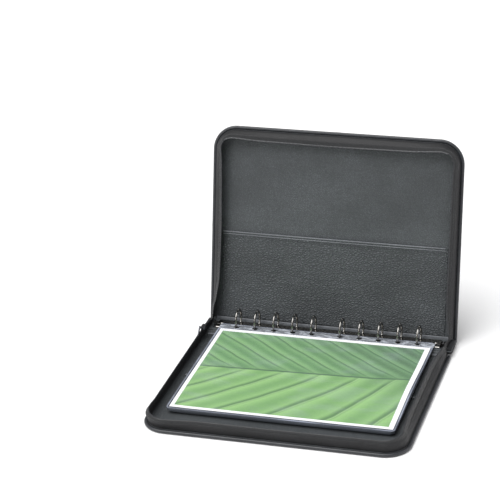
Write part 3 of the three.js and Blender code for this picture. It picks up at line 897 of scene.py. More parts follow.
@dataclass(frozen=True)
class LeafPrint:
    """A print of a broad green leaf: a dark midrib, veins that sweep out from it, a white border.

    Args:
        low: (x, y) of the sheet's low corner, in metres.
        high: (x, y) of its high corner.
        border_sides: width of the white border at the left and right, in metres.
        border_ends: its width at the front and back.
        rib_slope: how fast the midrib climbs to the right.
        rib_above: how far it is above the sheet's middle.
    """

    low: Flat
    high: Flat
    border_sides: Flat = (0.0048, 0.0064)
    border_ends: Flat = (0.0052, 0.0062)
    rib_slope: float = 0.045
    rib_above: float = 0.009

    def make(self) -> bpy.types.Material:
        """Builds the material.

        Returns:
            The material.
        """
        material, sh, surface = new_material("Leaf print")
        where = object_space(sh)
        x, y, _ = sh.add("ShaderNodeSeparateXYZ", {0: where}).outputs
        # The midrib crosses the sheet a little above its middle and climbs to the right.
        middle_y = (self.low[1] + self.high[1]) / 2
        rib = sh.math("ADD", sh.math("MULTIPLY", x, self.rib_slope), middle_y + self.rib_above)
        off = sh.math("SUBTRACT", y, rib)
        away = sh.math("ABSOLUTE", off)
        above = sh.math("GREATER_THAN", off, 0.0)
        cell = self._cell(sh, where, x, away, above)
        leaf = self._blade(sh, cell, x, off)
        leaf = self._veins(sh, leaf, cell, away)
        rib_line = sh.math("SUBTRACT", 1.0, sh.between(away, 0.0005, 0.0026))
        rib_shade = sh.math("MULTIPLY", sh.math("SUBTRACT", 1.0, sh.between(off, 0.0, 0.02)), above)
        leaf = sh.mix(sh.math("MULTIPLY", rib_shade, 0.4), leaf, linear(86, 122, 92))
        leaf = sh.mix(sh.math("MULTIPLY", rib_line, 0.85), leaf, linear(70, 100, 78))
        colour = sh.mix(self._inside(sh, x, y), linear(247, 247, 250), leaf)
        sh.link(colour, surface.inputs["Base Color"])
        surface.inputs["Roughness"].default_value = 0.42
        return material

    def _cell(self, sh: Shader, where: bpy.types.NodeSocket, x: bpy.types.NodeSocket,
              away: bpy.types.NodeSocket, above: bpy.types.NodeSocket) -> bpy.types.NodeSocket:
        """Divides each side of the midrib into slanting stripes, with a vein near the middle of each.

        Args:
            sh: the material's shader builder.
            where: the sheet's coordinates.
            x: its first coordinate.
            away: the distance from the midrib.
            above: 1 above the midrib, 0 below.

        Returns:
            The place across a stripe, from 0 to 1.
        """
        wobble = sh.math("MULTIPLY", sh.math("SUBTRACT", sh.noise(where, 14.0, 2.0), 0.5), 0.012)
        # Veins leave the midrib at a slant: one law above it, and a fan below it, steeper to the right.
        bend = sh.math("POWER", sh.math("DIVIDE", away, 0.1), 0.93)
        upper = sh.math("ADD", x, sh.math("MULTIPLY", bend, 0.122))
        across = sh.between(x, self.low[0], self.high[0], 0.105, 0.042)
        lower = sh.math("ADD", x, sh.math("MULTIPLY", bend, across))
        phase = sh.math("ADD", lower, sh.math("MULTIPLY", above, sh.math("SUBTRACT", upper, lower)))
        pitch = sh.math("ADD", 0.047, sh.math("MULTIPLY", above, -0.012))
        turn = sh.math("DIVIDE", sh.math("ADD", phase, wobble), pitch)
        return sh.math("SUBTRACT", turn, sh.math("FLOOR", turn))

    def _blade(self, sh: Shader, cell: bpy.types.NodeSocket, x: bpy.types.NodeSocket,
               off: bpy.types.NodeSocket) -> bpy.types.NodeSocket:
        """The green between the veins: each stripe is a soft roof, one slope in light, the other in shade.

        Args:
            sh: the material's shader builder.
            cell: the place across a stripe.
            x: the sheet's first coordinate.
            off: the height above the midrib.

        Returns:
            The colour.
        """
        slope = sh.between(cell, 0.5, 1.0, 1.0, 0.2)
        rise = sh.between(cell, 0.0, 0.5, 0.2, 0.85)
        left_half = sh.math("LESS_THAN", cell, 0.5)
        right_half = sh.math("SUBTRACT", 1.0, left_half)
        lit = sh.math("ADD", sh.math("MULTIPLY", left_half, rise), sh.math("MULTIPLY", right_half, slope))
        mottle = sh.noise(object_space(sh, (1.0, 1.7, 1.0)), 26.0, 4.0, 0.6)
        lit = sh.math("ADD", sh.math("MULTIPLY", lit, 0.85), sh.math("MULTIPLY", mottle, 0.3), clamp=True)
        upper_side = sh.between(off, -0.004, 0.012)
        fresh = sh.mix(upper_side, linear(150, 194, 124), linear(134, 178, 122))
        shade = sh.mix(upper_side, linear(96, 142, 86), linear(74, 120, 76))
        warm_side = sh.mix(lit, shade, fresh)
        cool_side = sh.mix(lit, linear(52, 76, 60), linear(112, 148, 116))
        # The upper right of the leaf turns away from the light.
        middle_x, reach = (self.low[0] + self.high[0]) / 2, (self.high[0] - self.low[0]) * 1.1
        aside = sh.math("DIVIDE", sh.math("SUBTRACT", x, middle_x), reach)
        turn_away = sh.math("ADD", aside, sh.math("MULTIPLY", off, 4.2))
        leaf = sh.mix(sh.between(turn_away, 0.0, 0.85), warm_side, cool_side)
        hairs = sh.noise(object_space(sh, (1.0, 0.16, 1.0)), 1500.0, 2.0)
        return sh.mix(sh.between(hairs, 0.35, 0.75, 0.0, 0.1), leaf, linear(196, 226, 170))

    @staticmethod
    def _veins(sh: Shader, leaf: bpy.types.NodeSocket, cell: bpy.types.NodeSocket,
               away: bpy.types.NodeSocket) -> bpy.types.NodeSocket:
        """Draws each vein as a soft dark line with a thin pale one beside it.

        Args:
            sh: the material's shader builder.
            leaf: the colour to draw on.
            cell: the place across a stripe.
            away: the distance from the midrib.

        Returns:
            The colour.
        """
        vein = sh.math("SUBTRACT", 1.0, sh.between(sh.distance(cell, 0.47), 0.0, 0.17))
        pale_vein = sh.math("SUBTRACT", 1.0, sh.between(sh.distance(cell, 0.53), 0.0, 0.028))
        strength = sh.math("MULTIPLY", vein, sh.between(away, 0.0, 0.02, 0.3, 0.72))
        leaf = sh.mix(strength, leaf, linear(58, 96, 64))
        return sh.mix(sh.math("MULTIPLY", pale_vein, 0.6), leaf, linear(178, 214, 156))

    def _inside(self, sh: Shader, x: bpy.types.NodeSocket, y: bpy.types.NodeSocket) -> bpy.types.NodeSocket:
        """A mask that is 1 inside the white border.

        Args:
            sh: the material's shader builder.
            x: the sheet's first coordinate.
            y: its second.

        Returns:
            The mask.
        """
        masks = []
        for value, low, high, border in ((x, self.low[0], self.high[0], self.border_sides),
                                         (y, self.low[1], self.high[1], self.border_ends)):
            past_low = sh.math("GREATER_THAN", value, low + border[0])
            before_high = sh.math("LESS_THAN", value, high - border[1])
            masks.append(sh.math("MULTIPLY", past_low, before_high))
        return sh.math("MULTIPLY", *masks)


class Finish(Enum):
    """The finishes of the case's pieces, with the record's slot for each."""

    OUTER = "outer_leather"
    LINING = "lining_leather"
    POCKET = "pocket_leather"
    TAPE = "zip_tape"
    TEETH = "zip_teeth"
    STEEL = "bright_steel"
    FILM = "clear_film"
    PRINT = "print_paper"


class Wardrobe:
    """Builds every finish once and hands it out."""

    def __init__(self) -> None:
        """Builds the finishes."""
        low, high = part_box("leaf_print")
        self.materials: dict[str, bpy.types.Material] = {
            "outer": Leather("Outer leatherette", (27, 29, 32), cells=760, depth=0.22, rough=0.38,
                             wrinkle=0.3).make(),
            # The edge leatherette is lighter than the outer skin: a painted highlight along the rolled
            # edges. It is also glossier.
            "edge": Leather("Edge leatherette", (46, 48, 52), cells=1150, depth=0.05, rough=0.24,
                            wrinkle=0.2).make(),
            "gusset": Leather("Gusset leatherette", (20, 20, 23), cells=900, depth=0.14, rough=0.5,
                              wrinkle=0.5).make(),
            "lining": Leather("Lining leatherette", (67, 71, 74), cells=560, depth=0.3, rough=0.5,
                              stretch=(0.72, 1.0, 1.0), wrinkle=0.3).make(),
            "pocket": Leather("Pocket leatherette", (66, 70, 73), cells=430, depth=0.95, rough=0.46,
                              stretch=(0.6, 1.0, 1.0), wrinkle=0.45).make(),
            # The hem leatherette is much lighter than the pocket and lining: painted highlight lines on the
            # pocket hems, and on the hinge piping a lighter band that is partly painted highlight.
            "hem": Leather("Hem leatherette", (108, 111, 116), cells=900, depth=0.1, rough=0.3,
                           wrinkle=0.2).make(),
            "board": Plastic("Grey board", (138, 131, 120), rough=0.85).make(),
            "tape": Tape("Zip tape", (22, 23, 25)).make(),
            "teeth": Plastic("Zip teeth", (62, 63, 66), rough=0.3).make(),
            "thread": Plastic("Thread", (74, 76, 80), rough=0.5).make(),
            "steel": Metal("Chrome", (136, 134, 131), rough=0.05, scuff=0.04).make(),
            "nickel": Metal("Black nickel", (70, 71, 75), rough=0.22, scuff=0.1).make(),
            # Each film's streaks are painted highlight.
            "film": Film("Clear film", (196, 204, 216), clear=0.03, highlight_alpha=0.07, streak=22).make(),
            "strip": Film("Strip film", (186, 191, 200), clear=0.38, highlight_alpha=0.92, streak=95).make(),
            "weld": Film("Welded film", (160, 166, 182), clear=0.75, highlight_alpha=0.9, streak=9).make(),
            "stack": Film("Stacked film", (108, 114, 124), clear=0.86, highlight_alpha=0.9, streak=2.2).make(),
            "print": LeafPrint((low.x, low.y), (high.x, high.y)).make(),
        }

    def dress(self, piece: bpy.types.Object, material: str) -> None:
        """Gives a piece its only material."""
        piece.data.materials.clear()
        piece.data.materials.append(self.materials[material])

    def dress_node(self, node: bpy.types.Object, material: str) -> None:
        """Gives a node of the frame its material, without touching its mesh.

        Args:
            node: the node's object.
            material: a name in the wardrobe.
        """
        if not node.material_slots:
            node.data.materials.append(None)
        for place in node.material_slots:
            place.link = "OBJECT"
            place.material = self.materials[material]


@dataclass
class Part:
    """What every sub-assembly shares: the case's facts, the finishes, and how a piece is finished off."""

    case: CaseFrame
    wardrobe: Wardrobe

    def keep(self, piece: bpy.types.Object, material: str, finish: Finish, body: str | None = None,
             nodes: Iterable[str] = ()) -> None:
        """Dresses a piece, what it stands for and the body it rides on.

        Args:
            piece: the object.
            material: a name in the wardrobe.
            finish: the record's slot; not used.
            body: the body that it rides on, or None, which leaves it on no body.
            nodes: the frame's nodes that it stands for.
        """
        self.wardrobe.dress(piece, material)
        if nodes:
            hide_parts(*nodes)
        if body:
            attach(piece, body)
        log.info("made %s", piece.name)


# ------------------------------------------------------------------ covers
# How far the zip walls, and the tape on top of them, lean in: (place round the outline, degrees).
BACK_LEAN = ((0, 4), (0.85, 4), (1.0, -20), (1.1, -26), (1.22, -7), (1.5, -9), (1.9, 0), (2.0, 4),
             (2.3, 38), (2.8, 40), (2.96, 12), (3, 6))
BACK_TAPE_LEAN = ((0, 41), (0.9, 41), (1.05, 72), (1.9, 74), (2.05, 60), (2.4, 48), (2.9, 41), (3, 34))
FRONT_LEAN = ((0, 6), (0.06, 12), (0.2, 42), (0.5, 50), (0.85, 40), (1.0, 18), (1.2, 48), (1.5, 60),
              (1.8, 50), (2.0, 14), (2.2, 20), (2.8, 28), (2.95, 12), (3, 6))
FRONT_TAPE_LEAN = ((0, 34), (0.1, 40), (0.3, 60), (1.0, 60), (1.5, 72), (2, 50), (2.9, 46), (3, 34))


@dataclass
class Cover(Part):
    """One cover: its rolled edge, panels, pocket, piping, and the soft zip wall round it.

    Args:
        side: which cover it is.
        lean: how far the zip wall leans in, round the outline.
        tape_lean: how far the tape on top of it leans in.
        pocket_swell: how far the pocket's mouth stands off.
        corner_radius: of the cover's two round corners.
        binding_width: of the rolled edge.
        binding_joins: the places round the outline where its ends overlap.
        wall_start: how far from the hinge line the wall begins.
        gusset_inset: how far in from the outline its foot is.
        gusset_height: of the leather part of the wall.
        teeth_margin: how far from the tape's ends the teeth stop.
        skin: thickness of the panels.
        pocket_foot: how far from the hinge line the pocket begins.
        pocket_hem: how far from it its mouth is.
        pocket_side: how far in from the outline its sides are.
        piping_side: how far in the piping at the hinge ends.
    """

    side: Side
    lean: Sequence[Flat]
    tape_lean: Sequence[Flat]
    pocket_swell: float
    corner_radius: float = 32.0
    binding_width: float = 4.6
    binding_joins: Sequence[float] = (0.5, 1.5, 2.5)
    wall_start: float = 6.0
    gusset_inset: float = 5.5
    gusset_height: float = 11.2
    gusset_thickness: float = 1.4
    tape_length: float = 4.9
    tape_thickness: float = 0.7
    teeth_pitch: float = 1.7
    teeth_margin: float = 7.0
    skin: float = 0.9
    pocket_foot: float = 7.5
    pocket_hem: float = 122.5
    pocket_side: float = 16.0
    piping_side: float = 10.0

    def __post_init__(self) -> None:
        """Sets up the cover's own space."""
        self.space = CoverSpace(self.case, self.side)

    def _name(self, name: str) -> str:
        """Names a piece after its cover, apart from the frame's own nodes."""
        return f"{self.side.value}_{name}_soft"

    @staticmethod
    def _wave(u: float, v: float, size: float, seed: float) -> float:
        """A slow, repeatable unevenness of a stretched skin.

        Args:
            u: along the spine.
            v: from the hinge line.
            size: the most that it may rise or fall.
            seed: sets where its waves lie.

        Returns:
            The rise.
        """
        a = math.sin(u / 47 + seed) * math.cos(v / 38 - seed * 1.7)
        b = math.sin((u + v) / 71 + seed * 2.3) * math.sin(v / 23 + seed)
        return size * (0.6 * a + 0.4 * b)

    def binding(self) -> None:
        """The rolled edge round the two sides and the free edge, with its small joins."""
        thick = self.case.thickness
        section = rounded_section(self.binding_width, thick, 2.1, 5)
        maker = MeshMaker()
        rows = []
        for st in outline(self.case, self.corner_radius, 0.0, 3.0):
            join = sum(math.exp(-(((st.q - q) / 0.012) ** 2)) for q in self.binding_joins)
            grow = 1 + 0.35 * join / self.binding_width
            row = []
            for a, b in section:
                u, v = st.inset(self.binding_width / 2 - a * grow)
                row.append(self.space.at(u, v, -thick / 2 + b))
            rows.append(row)
        maker.loft(rows)
        made = maker.make(self._name("binding"), sharp_deg=60)
        # The rolled edge wears the lighter edge leatherette: a painted highlight.
        self.keep(made, "edge", Finish.OUTER, self.space.body, [self.space.node("edge_binding")])

    def panels(self) -> None:
        """The outer skin and the lining, each a thin panel with soft rims."""
        half = self.case.half_width - self.binding_width + 0.1
        depth = self.case.depth - self.binding_width + 0.1
        corner = self.corner_radius - self.binding_width
        thick = self.case.thickness
        levels = (-thick + 0.05, -thick + self.skin)
        skin = Slab(self.space.at, (-half, half), (0.0, depth), levels, corner, rim=0.5)
        made = skin.make(self._name("skin"))
        self.keep(made, "outer", Finish.OUTER, self.space.body, [self.space.node("cover_skin")])
        lining = Slab(self.space.at, (-half, half), (0.0, depth), (-self.skin, -0.12), corner, rim=0.5,
                      swell=lambda u, v: self._wave(u, v, 0.12, 1.3))
        made = lining.make(self._name("lining"))
        self.keep(made, "lining", Finish.LINING, self.space.body, [self.space.node("cover_lining")])

    def pocket(self) -> None:
        """The pocket: a panel sewn on three sides whose mouth stands off a little, with a turned hem."""
        half = self.case.half_width - self.pocket_side
        foot, hem = self.pocket_foot, self.pocket_hem

        def swell(u: float, v: float) -> float:
            """How far the pocket stands off: most in the middle of its mouth.

            Args:
                u: along the spine.
                v: from the hinge line.

            Returns:
                The rise.
            """
            across = max(1 - (u / half) ** 2, 0.0)
            up = smooth((v - foot) / (hem - foot))
            turned = 0.32 * smooth((v - (hem - 7.5)) / 0.8)
            return self.pocket_swell * across * up + turned + self._wave(u, v, 0.1, 0.4) * across

        panel = Slab(self.space.at, (-half, half), (foot, hem), (0.05, 0.85), rim=0.45, swell=swell,
                     spacing=5.0)
        made = panel.make(self._name("pocket"))
        self.keep(made, "pocket", Finish.POCKET, self.space.body, [self.space.node("pocket")])
        # The two beads along the mouth are in the lighter hem leatherette: painted highlight lines.
        bead = MeshMaker()
        for below, width, height in ((0.5, 1.7, 1.0), (3.6, 1.1, 0.6)):
            section = rounded_section(width, height, height * 0.48, 3)
            bead.loft([
                [self.space.at(u, hem - below + a, 0.95 + swell(u, hem - below) + b) for a, b in section]
                for u in np.arange(-half + 0.4, half, 4.0)
            ])
        self.keep(bead.make(self._name("pocket_hem")), "hem", Finish.POCKET, self.space.body)
        thread = MeshMaker()
        up = Vector(self.space.at(0, 0, 1)) - Vector(self.space.at(0, 0, 0))
        rows = [[(u, hem - 6.2) for u in np.arange(-half + 3, half - 2, 4.0)]]
        for side in (-1, 1):
            rows.append([(side * (half - 2.4), v) for v in np.arange(foot + 2, hem - 1, 4.0)])
        for row in rows:
            stitch_row(thread, [self.space.at(u, v, 0.87 + swell(u, v)) for u, v in row], lambda k: up)
        self.keep(thread.make(self._name("pocket_stitching")), "thread", Finish.POCKET, self.space.body)

    def piping(self) -> None:
        """The rolled band that closes the lining at the hinge."""
        half = self.case.half_width - self.piping_side
        section = rounded_section(4.5, 1.5, 0.7, 4)
        maker = MeshMaker()
        rows = []
        for u in np.arange(-half, half + 0.1, 4.0):
            droop = self._wave(u, 0, 0.35, 2.1)
            rows.append([self.space.at(u, 4.3 + a + droop, 1.02 + b) for a, b in section])
        maker.loft(rows)
        made = maker.make(self._name("piping"))
        # The band wears the lighter hem leatherette: a lighter band that is partly painted highlight.
        self.keep(made, "hem", Finish.LINING, self.space.body, [self.space.node("lining_piping")])

    @staticmethod
    def _angle_at(table: Sequence[Flat], q: float) -> float:
        """An angle at a place on the outline, in radians, from (place, degrees) pairs."""
        places, angles = zip(*table)
        return math.radians(float(np.interp(q, places, angles)))

    def wall_path(self, q: float) -> tuple[list[Flat], list[Flat]]:
        """The wall's middle line at a place on the outline, as (inset, w).

        Args:
            q: how far round the outline.

        Returns:
            The gusset's points and the tape's points, from the cover up.
        """
        lean = self._angle_at(self.lean, q)
        rest = self._angle_at(self.tape_lean, q)
        gusset, tape = [(self.gusset_inset, -0.3)], []
        inset, w = gusset[0]
        steps = 7
        for i in range(steps):
            share = (i + 0.5) / steps
            angle = lean * smooth(share * 1.8) - 0.12 * math.sin(math.pi * share) * (1 if lean < 0.3 else 0)
            inset += math.sin(angle) * self.gusset_height / steps
            w += math.cos(angle) * self.gusset_height / steps
            gusset.append((inset, w))
        angle_tape = min(max(lean * 1.15, rest), math.radians(80))
        steps = 5
        tape.append((inset - math.sin(lean) * 0.8, w - math.cos(lean) * 0.8))
        for i in range(steps):
            share = (i + 0.5) / steps
            angle = lean + (angle_tape - lean) * smooth(share * 2.2)
            if self.side is Side.BACK and q < 0.9:
                # The slider runs here, so the teeth stand up.
                angle *= 1 - smooth((share - 0.75) * 3)
            inset += math.sin(angle) * self.tape_length / steps
            w += math.cos(angle) * self.tape_length / steps
            tape.append((inset, w))
        return gusset, tape

    def at_station(self, st: Station, place: Flat) -> Point:
        """A wall point at a station."""
        u, v = st.inset(place[0])
        return self.space.at(u, v, place[1])

    def walls(self) -> None:
        """The gusset, the zip tape, the teeth along its edge and the seam between them."""
        stations = outline(self.case, self.corner_radius, self.wall_start, 4.0)
        gusset, tape = MeshMaker(), MeshMaker()
        gusset_rows, tape_rows, crest, seam = [], [], [], []
        for st in stations:
            low, high = self.wall_path(st.q)
            shares = [1.0] * (len(low) - 2) + [0.9] * 2
            section = thick_path(low, [self.gusset_thickness * share for share in shares])
            gusset_rows.append([self.at_station(st, p) for p in section])
            section = thick_path(high, [self.tape_thickness] * len(high))
            tape_rows.append([self.at_station(st, p) for p in section])
            crest.append((st, high))
            seam.append((st, low))
        gusset.loft(gusset_rows)
        tape.loft(tape_rows)
        body = self.space.body
        made = gusset.make(self._name("gusset"), sharp_deg=60)
        self.keep(made, "gusset", Finish.OUTER, body, [self.space.node("gusset")])
        made = tape.make(self._name("tape"), sharp_deg=60)
        self.keep(made, "tape", Finish.TAPE, body, [self.space.node("zip_tape")])
        self._teeth(crest)
        self._seam(seam)

    def _teeth(self, crest: Sequence[tuple[Station, Sequence[Flat]]]) -> None:
        """A row of coil teeth along the tape's edge.

        Args:
            crest: the tape's points at each station.
        """
        points = np.array([self.at_station(st, high[-1]) for st, high in crest])
        feet = np.array([self.at_station(st, high[-3]) for st, high in crest])
        steps = np.linalg.norm(np.diff(points, axis=0), axis=1)
        run = np.concatenate([[0.0], np.cumsum(steps)])
        maker = MeshMaker()
        for distance in np.arange(self.teeth_margin, run[-1] - self.teeth_margin, self.teeth_pitch):
            place = np.array([np.interp(distance, run, points[:, k]) for k in range(3)])
            foot = np.array([np.interp(distance, run, feet[:, k]) for k in range(3)])
            k = min(int(np.searchsorted(run, distance)) - 1, len(steps) - 1)
            along = Vector(points[k + 1] - points[k]).normalized()
            out = Vector(place - foot).normalized()
            across = along.cross(out).normalized()
            middle = Vector(place) + out * 0.35
            size = (2.0, self.teeth_pitch * 0.62, 1.25)
            maker.brick(tuple(middle), (out, along, across), size, taper=0.7)
        made = maker.make(self._name("teeth"))
        self.keep(made, "teeth", Finish.TEETH, self.space.body, [self.space.node("zip_teeth")])

    def _seam(self, seam: Sequence[tuple[Station, Sequence[Flat]]]) -> None:
        """Two rows of stitching: one holds the tape to the gusset, one holds the gusset to the cover.

        Args:
            seam: the gusset's points at each station.
        """
        maker = MeshMaker()
        thread_rise = 0.05
        for index in (-2, 1):
            places, rises = [], []
            for st, low in seam:
                here, crest = np.array(low[index]), np.array(low[-1])
                slope = (crest - here) / np.linalg.norm(crest - here)
                inward = np.array([slope[1], -slope[0]])
                spot = here + inward * (self.gusset_thickness / 2 + thread_rise)
                places.append(self.at_station(st, tuple(spot)))
                rises.append(Vector(self.at_station(st, tuple(spot + inward))) - Vector(places[-1]))
            stitch_row(maker, places, lambda k: rises[k], pitch=3.0, length=2.1)
        self.keep(maker.make(self._name("wall_stitching")), "thread", Finish.OUTER, self.space.body)

    def board(self, nodes: dict[str, bpy.types.Object]) -> None:
        """Dresses the board inside the cover."""
        self.wardrobe.dress_node(nodes[self.space.node("cover_board")], "board")

    def build(self, nodes: dict[str, bpy.types.Object]) -> None:
        """Builds the whole cover.

        Args:
            nodes: the frame's nodes by name.
        """
        self.binding()
        self.panels()
        self.pocket()
        self.piping()
        self.walls()
        self.board(nodes)


# ------------------------------------------------------------------ spine and folds
@dataclass
class Spine(Part):
    """The spine: its padded skin, the folds of leatherette to both covers, and the zip's ends."""

    overlap: float = 5.0
    fold_thickness: float = 0.8
    wall_inset: float = 7.7

    def skin(self) -> None:
        """The outer skin, wrapped over the board with soft edges."""
        low, high = (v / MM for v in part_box("spine_skin"))
        _, top = (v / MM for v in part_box("spine_board"))
        middle = (low.y + high.y) / 2
        section = rounded_section(high.y - low.y, top.z - low.z + 0.6, 1.6, 4)
        ends = [(low.x, 0.0), (low.x + 0.2, 0.5), (low.x + 0.9, 0.87), (low.x + 2, 1.0)]
        rows = ends + [(x, 1.0) for x in np.linspace(low.x + 8, high.x - 8, 40)]
        rows += [(-x, share) for x, share in reversed(ends)]
        centre = (low.z + top.z + 0.6) / 2
        sections = []
        for x, share in rows:
            shrink = 1.4 * (1 - share)
            sections.append([
                (x, middle + a - math.copysign(shrink, a), centre + b - math.copysign(shrink, b))
                for a, b in section
            ])
        maker = MeshMaker()
        maker.loft(sections)
        made = maker.make("spine_skin_soft", sharp_deg=60)
        self.keep(made, "outer", Finish.OUTER, "spine", ["spine_skin"])

    def _fold(self, name: str, path: Sequence[Flat], half: float, bodies: tuple[str, str],
              ends: tuple[Flat, Flat], material: str, finish: Finish) -> None:
        """One strip of leatherette across the fold between two bodies, built in its resting shape.

        Args:
            name: the piece's name.
            path: its (y, z) line at rest.
            half: half of its length along the spine.
            bodies: the two bodies; not used.
            ends: (y, z) where it would stop following the first and start to follow the second; not used.
            material: its finish.
            finish: its slot.
        """
        fine = self._resample(path, 14)
        section = thick_path(fine, [self.fold_thickness] * len(fine))
        maker = MeshMaker()
        maker.loft([[(x, y, z) for y, z in section] for x in np.linspace(-half, half, 60)])
        made = maker.make(name, sharp_deg=60)
        self.keep(made, material, finish)
        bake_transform(made)

    @staticmethod
    def _resample(path: Sequence[Flat], count: int) -> list[Flat]:
        """Smooths a line through a few points.

        Args:
            path: the points.
            count: how many points the smooth line has.

        Returns:
            The smooth line.
        """
        points = np.array(path, float)
        run = np.concatenate([[0.0], np.cumsum(np.linalg.norm(np.diff(points, axis=0), axis=1))])
        places = np.linspace(0, run[-1], count)
        coarse = np.stack([np.interp(places, run, points[:, k]) for k in range(2)], axis=1)
        for _ in range(6):
            coarse[1:-1] = (coarse[:-2] + 2 * coarse[1:-1] + coarse[2:]) / 4
        return [tuple(p) for p in coarse]

    def folds(self) -> None:
        """The four folds: outside and inside, at each hinge line."""
        (ya, za), (yb, zb) = self.case.hinge_a, self.case.hinge_b
        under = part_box("spine_skin")[0].z / MM
        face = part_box("spine_lining")[1].z / MM
        thick = self.case.thickness
        half = self.case.half_width - 5.2
        back, front = CoverSpace(self.case, Side.BACK), CoverSpace(self.case, Side.FRONT)
        lap = self.overlap
        outer_a = [back.at(0, lap, 0.55 - thick)[1:], back.at(0, 1.0, 0.6 - thick)[1:],
                   (ya + 1.4, 1.9), (ya + 2.8, under + 0.2), (ya + 2 + lap, under + 0.5)]
        inner_a = [back.at(0, lap, 0.15)[1:], back.at(0, 1.2, 0.1)[1:], (ya + 0.9, za + 1.4),
                   (ya + 1.8, face - 0.6), (ya + 4.5, face + 0.15), (ya + 2 + lap, face + 0.15)]
        outer_b = [(yb - 2 - lap, under + 0.5), (yb - 2.6, under + 0.3), (yb + 0.6, under - 1.0),
                   front.at(0, -0.6, 0.9 - thick)[1:], front.at(0, 2.0, 0.5 - thick)[1:],
                   front.at(0, lap, 0.5 - thick)[1:]]
        inner_b = [(yb - 2 - lap, face + 0.15), (yb - 4.0, face + 0.1), (yb - 1.6, face - 0.9),
                   front.at(0, 1.0, 0.2)[1:], front.at(0, lap, 0.15)[1:]]
        bodies_a, bodies_b = ("back_cover", "spine"), ("spine", "front_cover")
        ends_a = ((ya - 1.5, za), (ya + 2.5, za))
        ends_b = ((yb - 2.2, zb - 0.5), (yb + 0.8, zb + 2.0))
        self._fold("outer_fold_back", outer_a, half, bodies_a, ends_a, "outer", Finish.OUTER)
        self._fold("inner_fold_back", inner_a, half - 2, bodies_a, ends_a, "lining", Finish.LINING)
        self._fold("outer_fold_front", outer_b, half, bodies_b, ends_b, "outer", Finish.OUTER)
        self._fold("inner_fold_front", inner_b, half - 2, bodies_b, ends_b, "lining", Finish.LINING)

    def hinge_walls(self, back: Cover, front: Cover) -> None:
        """The ends of the zip walls, which cross the spine on each side, bowed a little along it.

        Args:
            back: the lower cover, whose wall they leave.
            front: the lid, whose wall they join.
        """
        middle_y = (self.case.hinge_a[0] + self.case.hinge_b[0]) / 2
        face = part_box("spine_lining")[1].z / MM
        ya, za = self.case.hinge_a
        direction = Vector((0.0, 0.94, 0.34)).normalized()
        reach = Vector((0, middle_y, face)).dot(direction)
        low, high = (tuple(direction * (reach + past) * MM) for past in (0.3, 5.4))
        edge = self.case.half_width - self.wall_inset
        for label, side, q in (("left", -1, 0.0), ("right", 1, 3.0)):
            start, end = self._wall_section(back, side, q), self._wall_section(front, side, q)
            count = len(start) // 2
            near, far = [], []
            for i in range(count):
                share = i / (count - 1)
                y, z = middle_y - 1.0 - 6.5 * share**1.4, face + 0.2 + 9.0 * share
                near.append((side * (edge + 0.4 - 0.06 * i), y, z))
                far.append((side * (edge - 0.5 - 0.06 * i), y, z))
            middle = near + far[::-1]
            made = self._crossing(f"hinge_wall_back_{label}", start, middle, -side * 0.5)
            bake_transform(made)
            made = self._crossing(f"hinge_wall_front_{label}", middle, end, -side * 0.4)
            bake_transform(made)
            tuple(low)
            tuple(high)

    @staticmethod
    def _wall_section(cover: Cover, side: int, q: float) -> list[Point]:
        """The end of a cover's wall.

        Args:
            cover: the cover.
            side: -1 at the left, 1 at the right.
            q: the place round its outline.

        Returns:
            The wall's two faces as one ring of points, from the foot up and back down.
        """
        low, high = cover.wall_path(q)
        half = 0.55
        points = np.array(low[:-1] + high[1:])
        along = np.gradient(points, axis=0)
        along /= np.linalg.norm(along, axis=1)[:, None]
        out = np.stack([-along[:, 1], along[:, 0]], axis=1)
        station = Station(side * cover.case.half_width, cover.wall_start + 0.4, -side, 0.0, q)
        near = [cover.at_station(station, tuple(p + o * half)) for p, o in zip(points, out)]
        far = [cover.at_station(station, tuple(p - o * half)) for p, o in zip(points, out)]
        return near + far[::-1]

    def _crossing(self, name: str, first: Sequence[Point], last: Sequence[Point],
                  sway: float) -> bpy.types.Object:
        """One stretch of wall from one section to another, bowed halfway as slack leather is.

        Args:
            name: the piece's name.
            first: the section that it leaves.
            last: the section that it reaches.
            sway: how far it bows along the spine.

        Returns:
            The piece.
        """
        steps = 9
        a, b = np.array(first), np.array(last)
        rows = []
        for i in range(steps + 1):
            share = i / steps
            row = a + (b - a) * smooth(share)
            row[:, 0] += sway * math.sin(math.pi * share)
            rows.append([tuple(p) for p in row])
        maker = MeshMaker()
        maker.loft(rows)
        made = maker.make(name, sharp_deg=60)
        self.keep(made, "gusset", Finish.OUTER)
        return made

    def dress_frame(self, nodes: dict[str, bpy.types.Object]) -> None:
        """Dresses the frame's own nodes on the spine.

        Args:
            nodes: the frame's nodes by name.
        """
        wear = {
            "spine_board": "board",
            "spine_lining": "lining",
            "ring_rail": "steel",
            "rail_rivet_left": "steel",
            "rail_rivet_right": "steel",
            "handle_keeper_left": "outer",
            "handle_keeper_right": "outer",
            "zip_end_tab_left": "outer",
            "zip_end_tab_right": "outer",
        }
        for node, material in wear.items():
            self.wardrobe.dress_node(nodes[node], material)

    def build(self, nodes: dict[str, bpy.types.Object], back: Cover, front: Cover) -> None:
        """Builds the whole spine.

        Args:
            nodes: the frame's nodes by name.
            back: the lower cover.
            front: the lid.
        """
        self.skin()
        self.folds()
        self.hinge_walls(back, front)
        self.dress_frame(nodes)


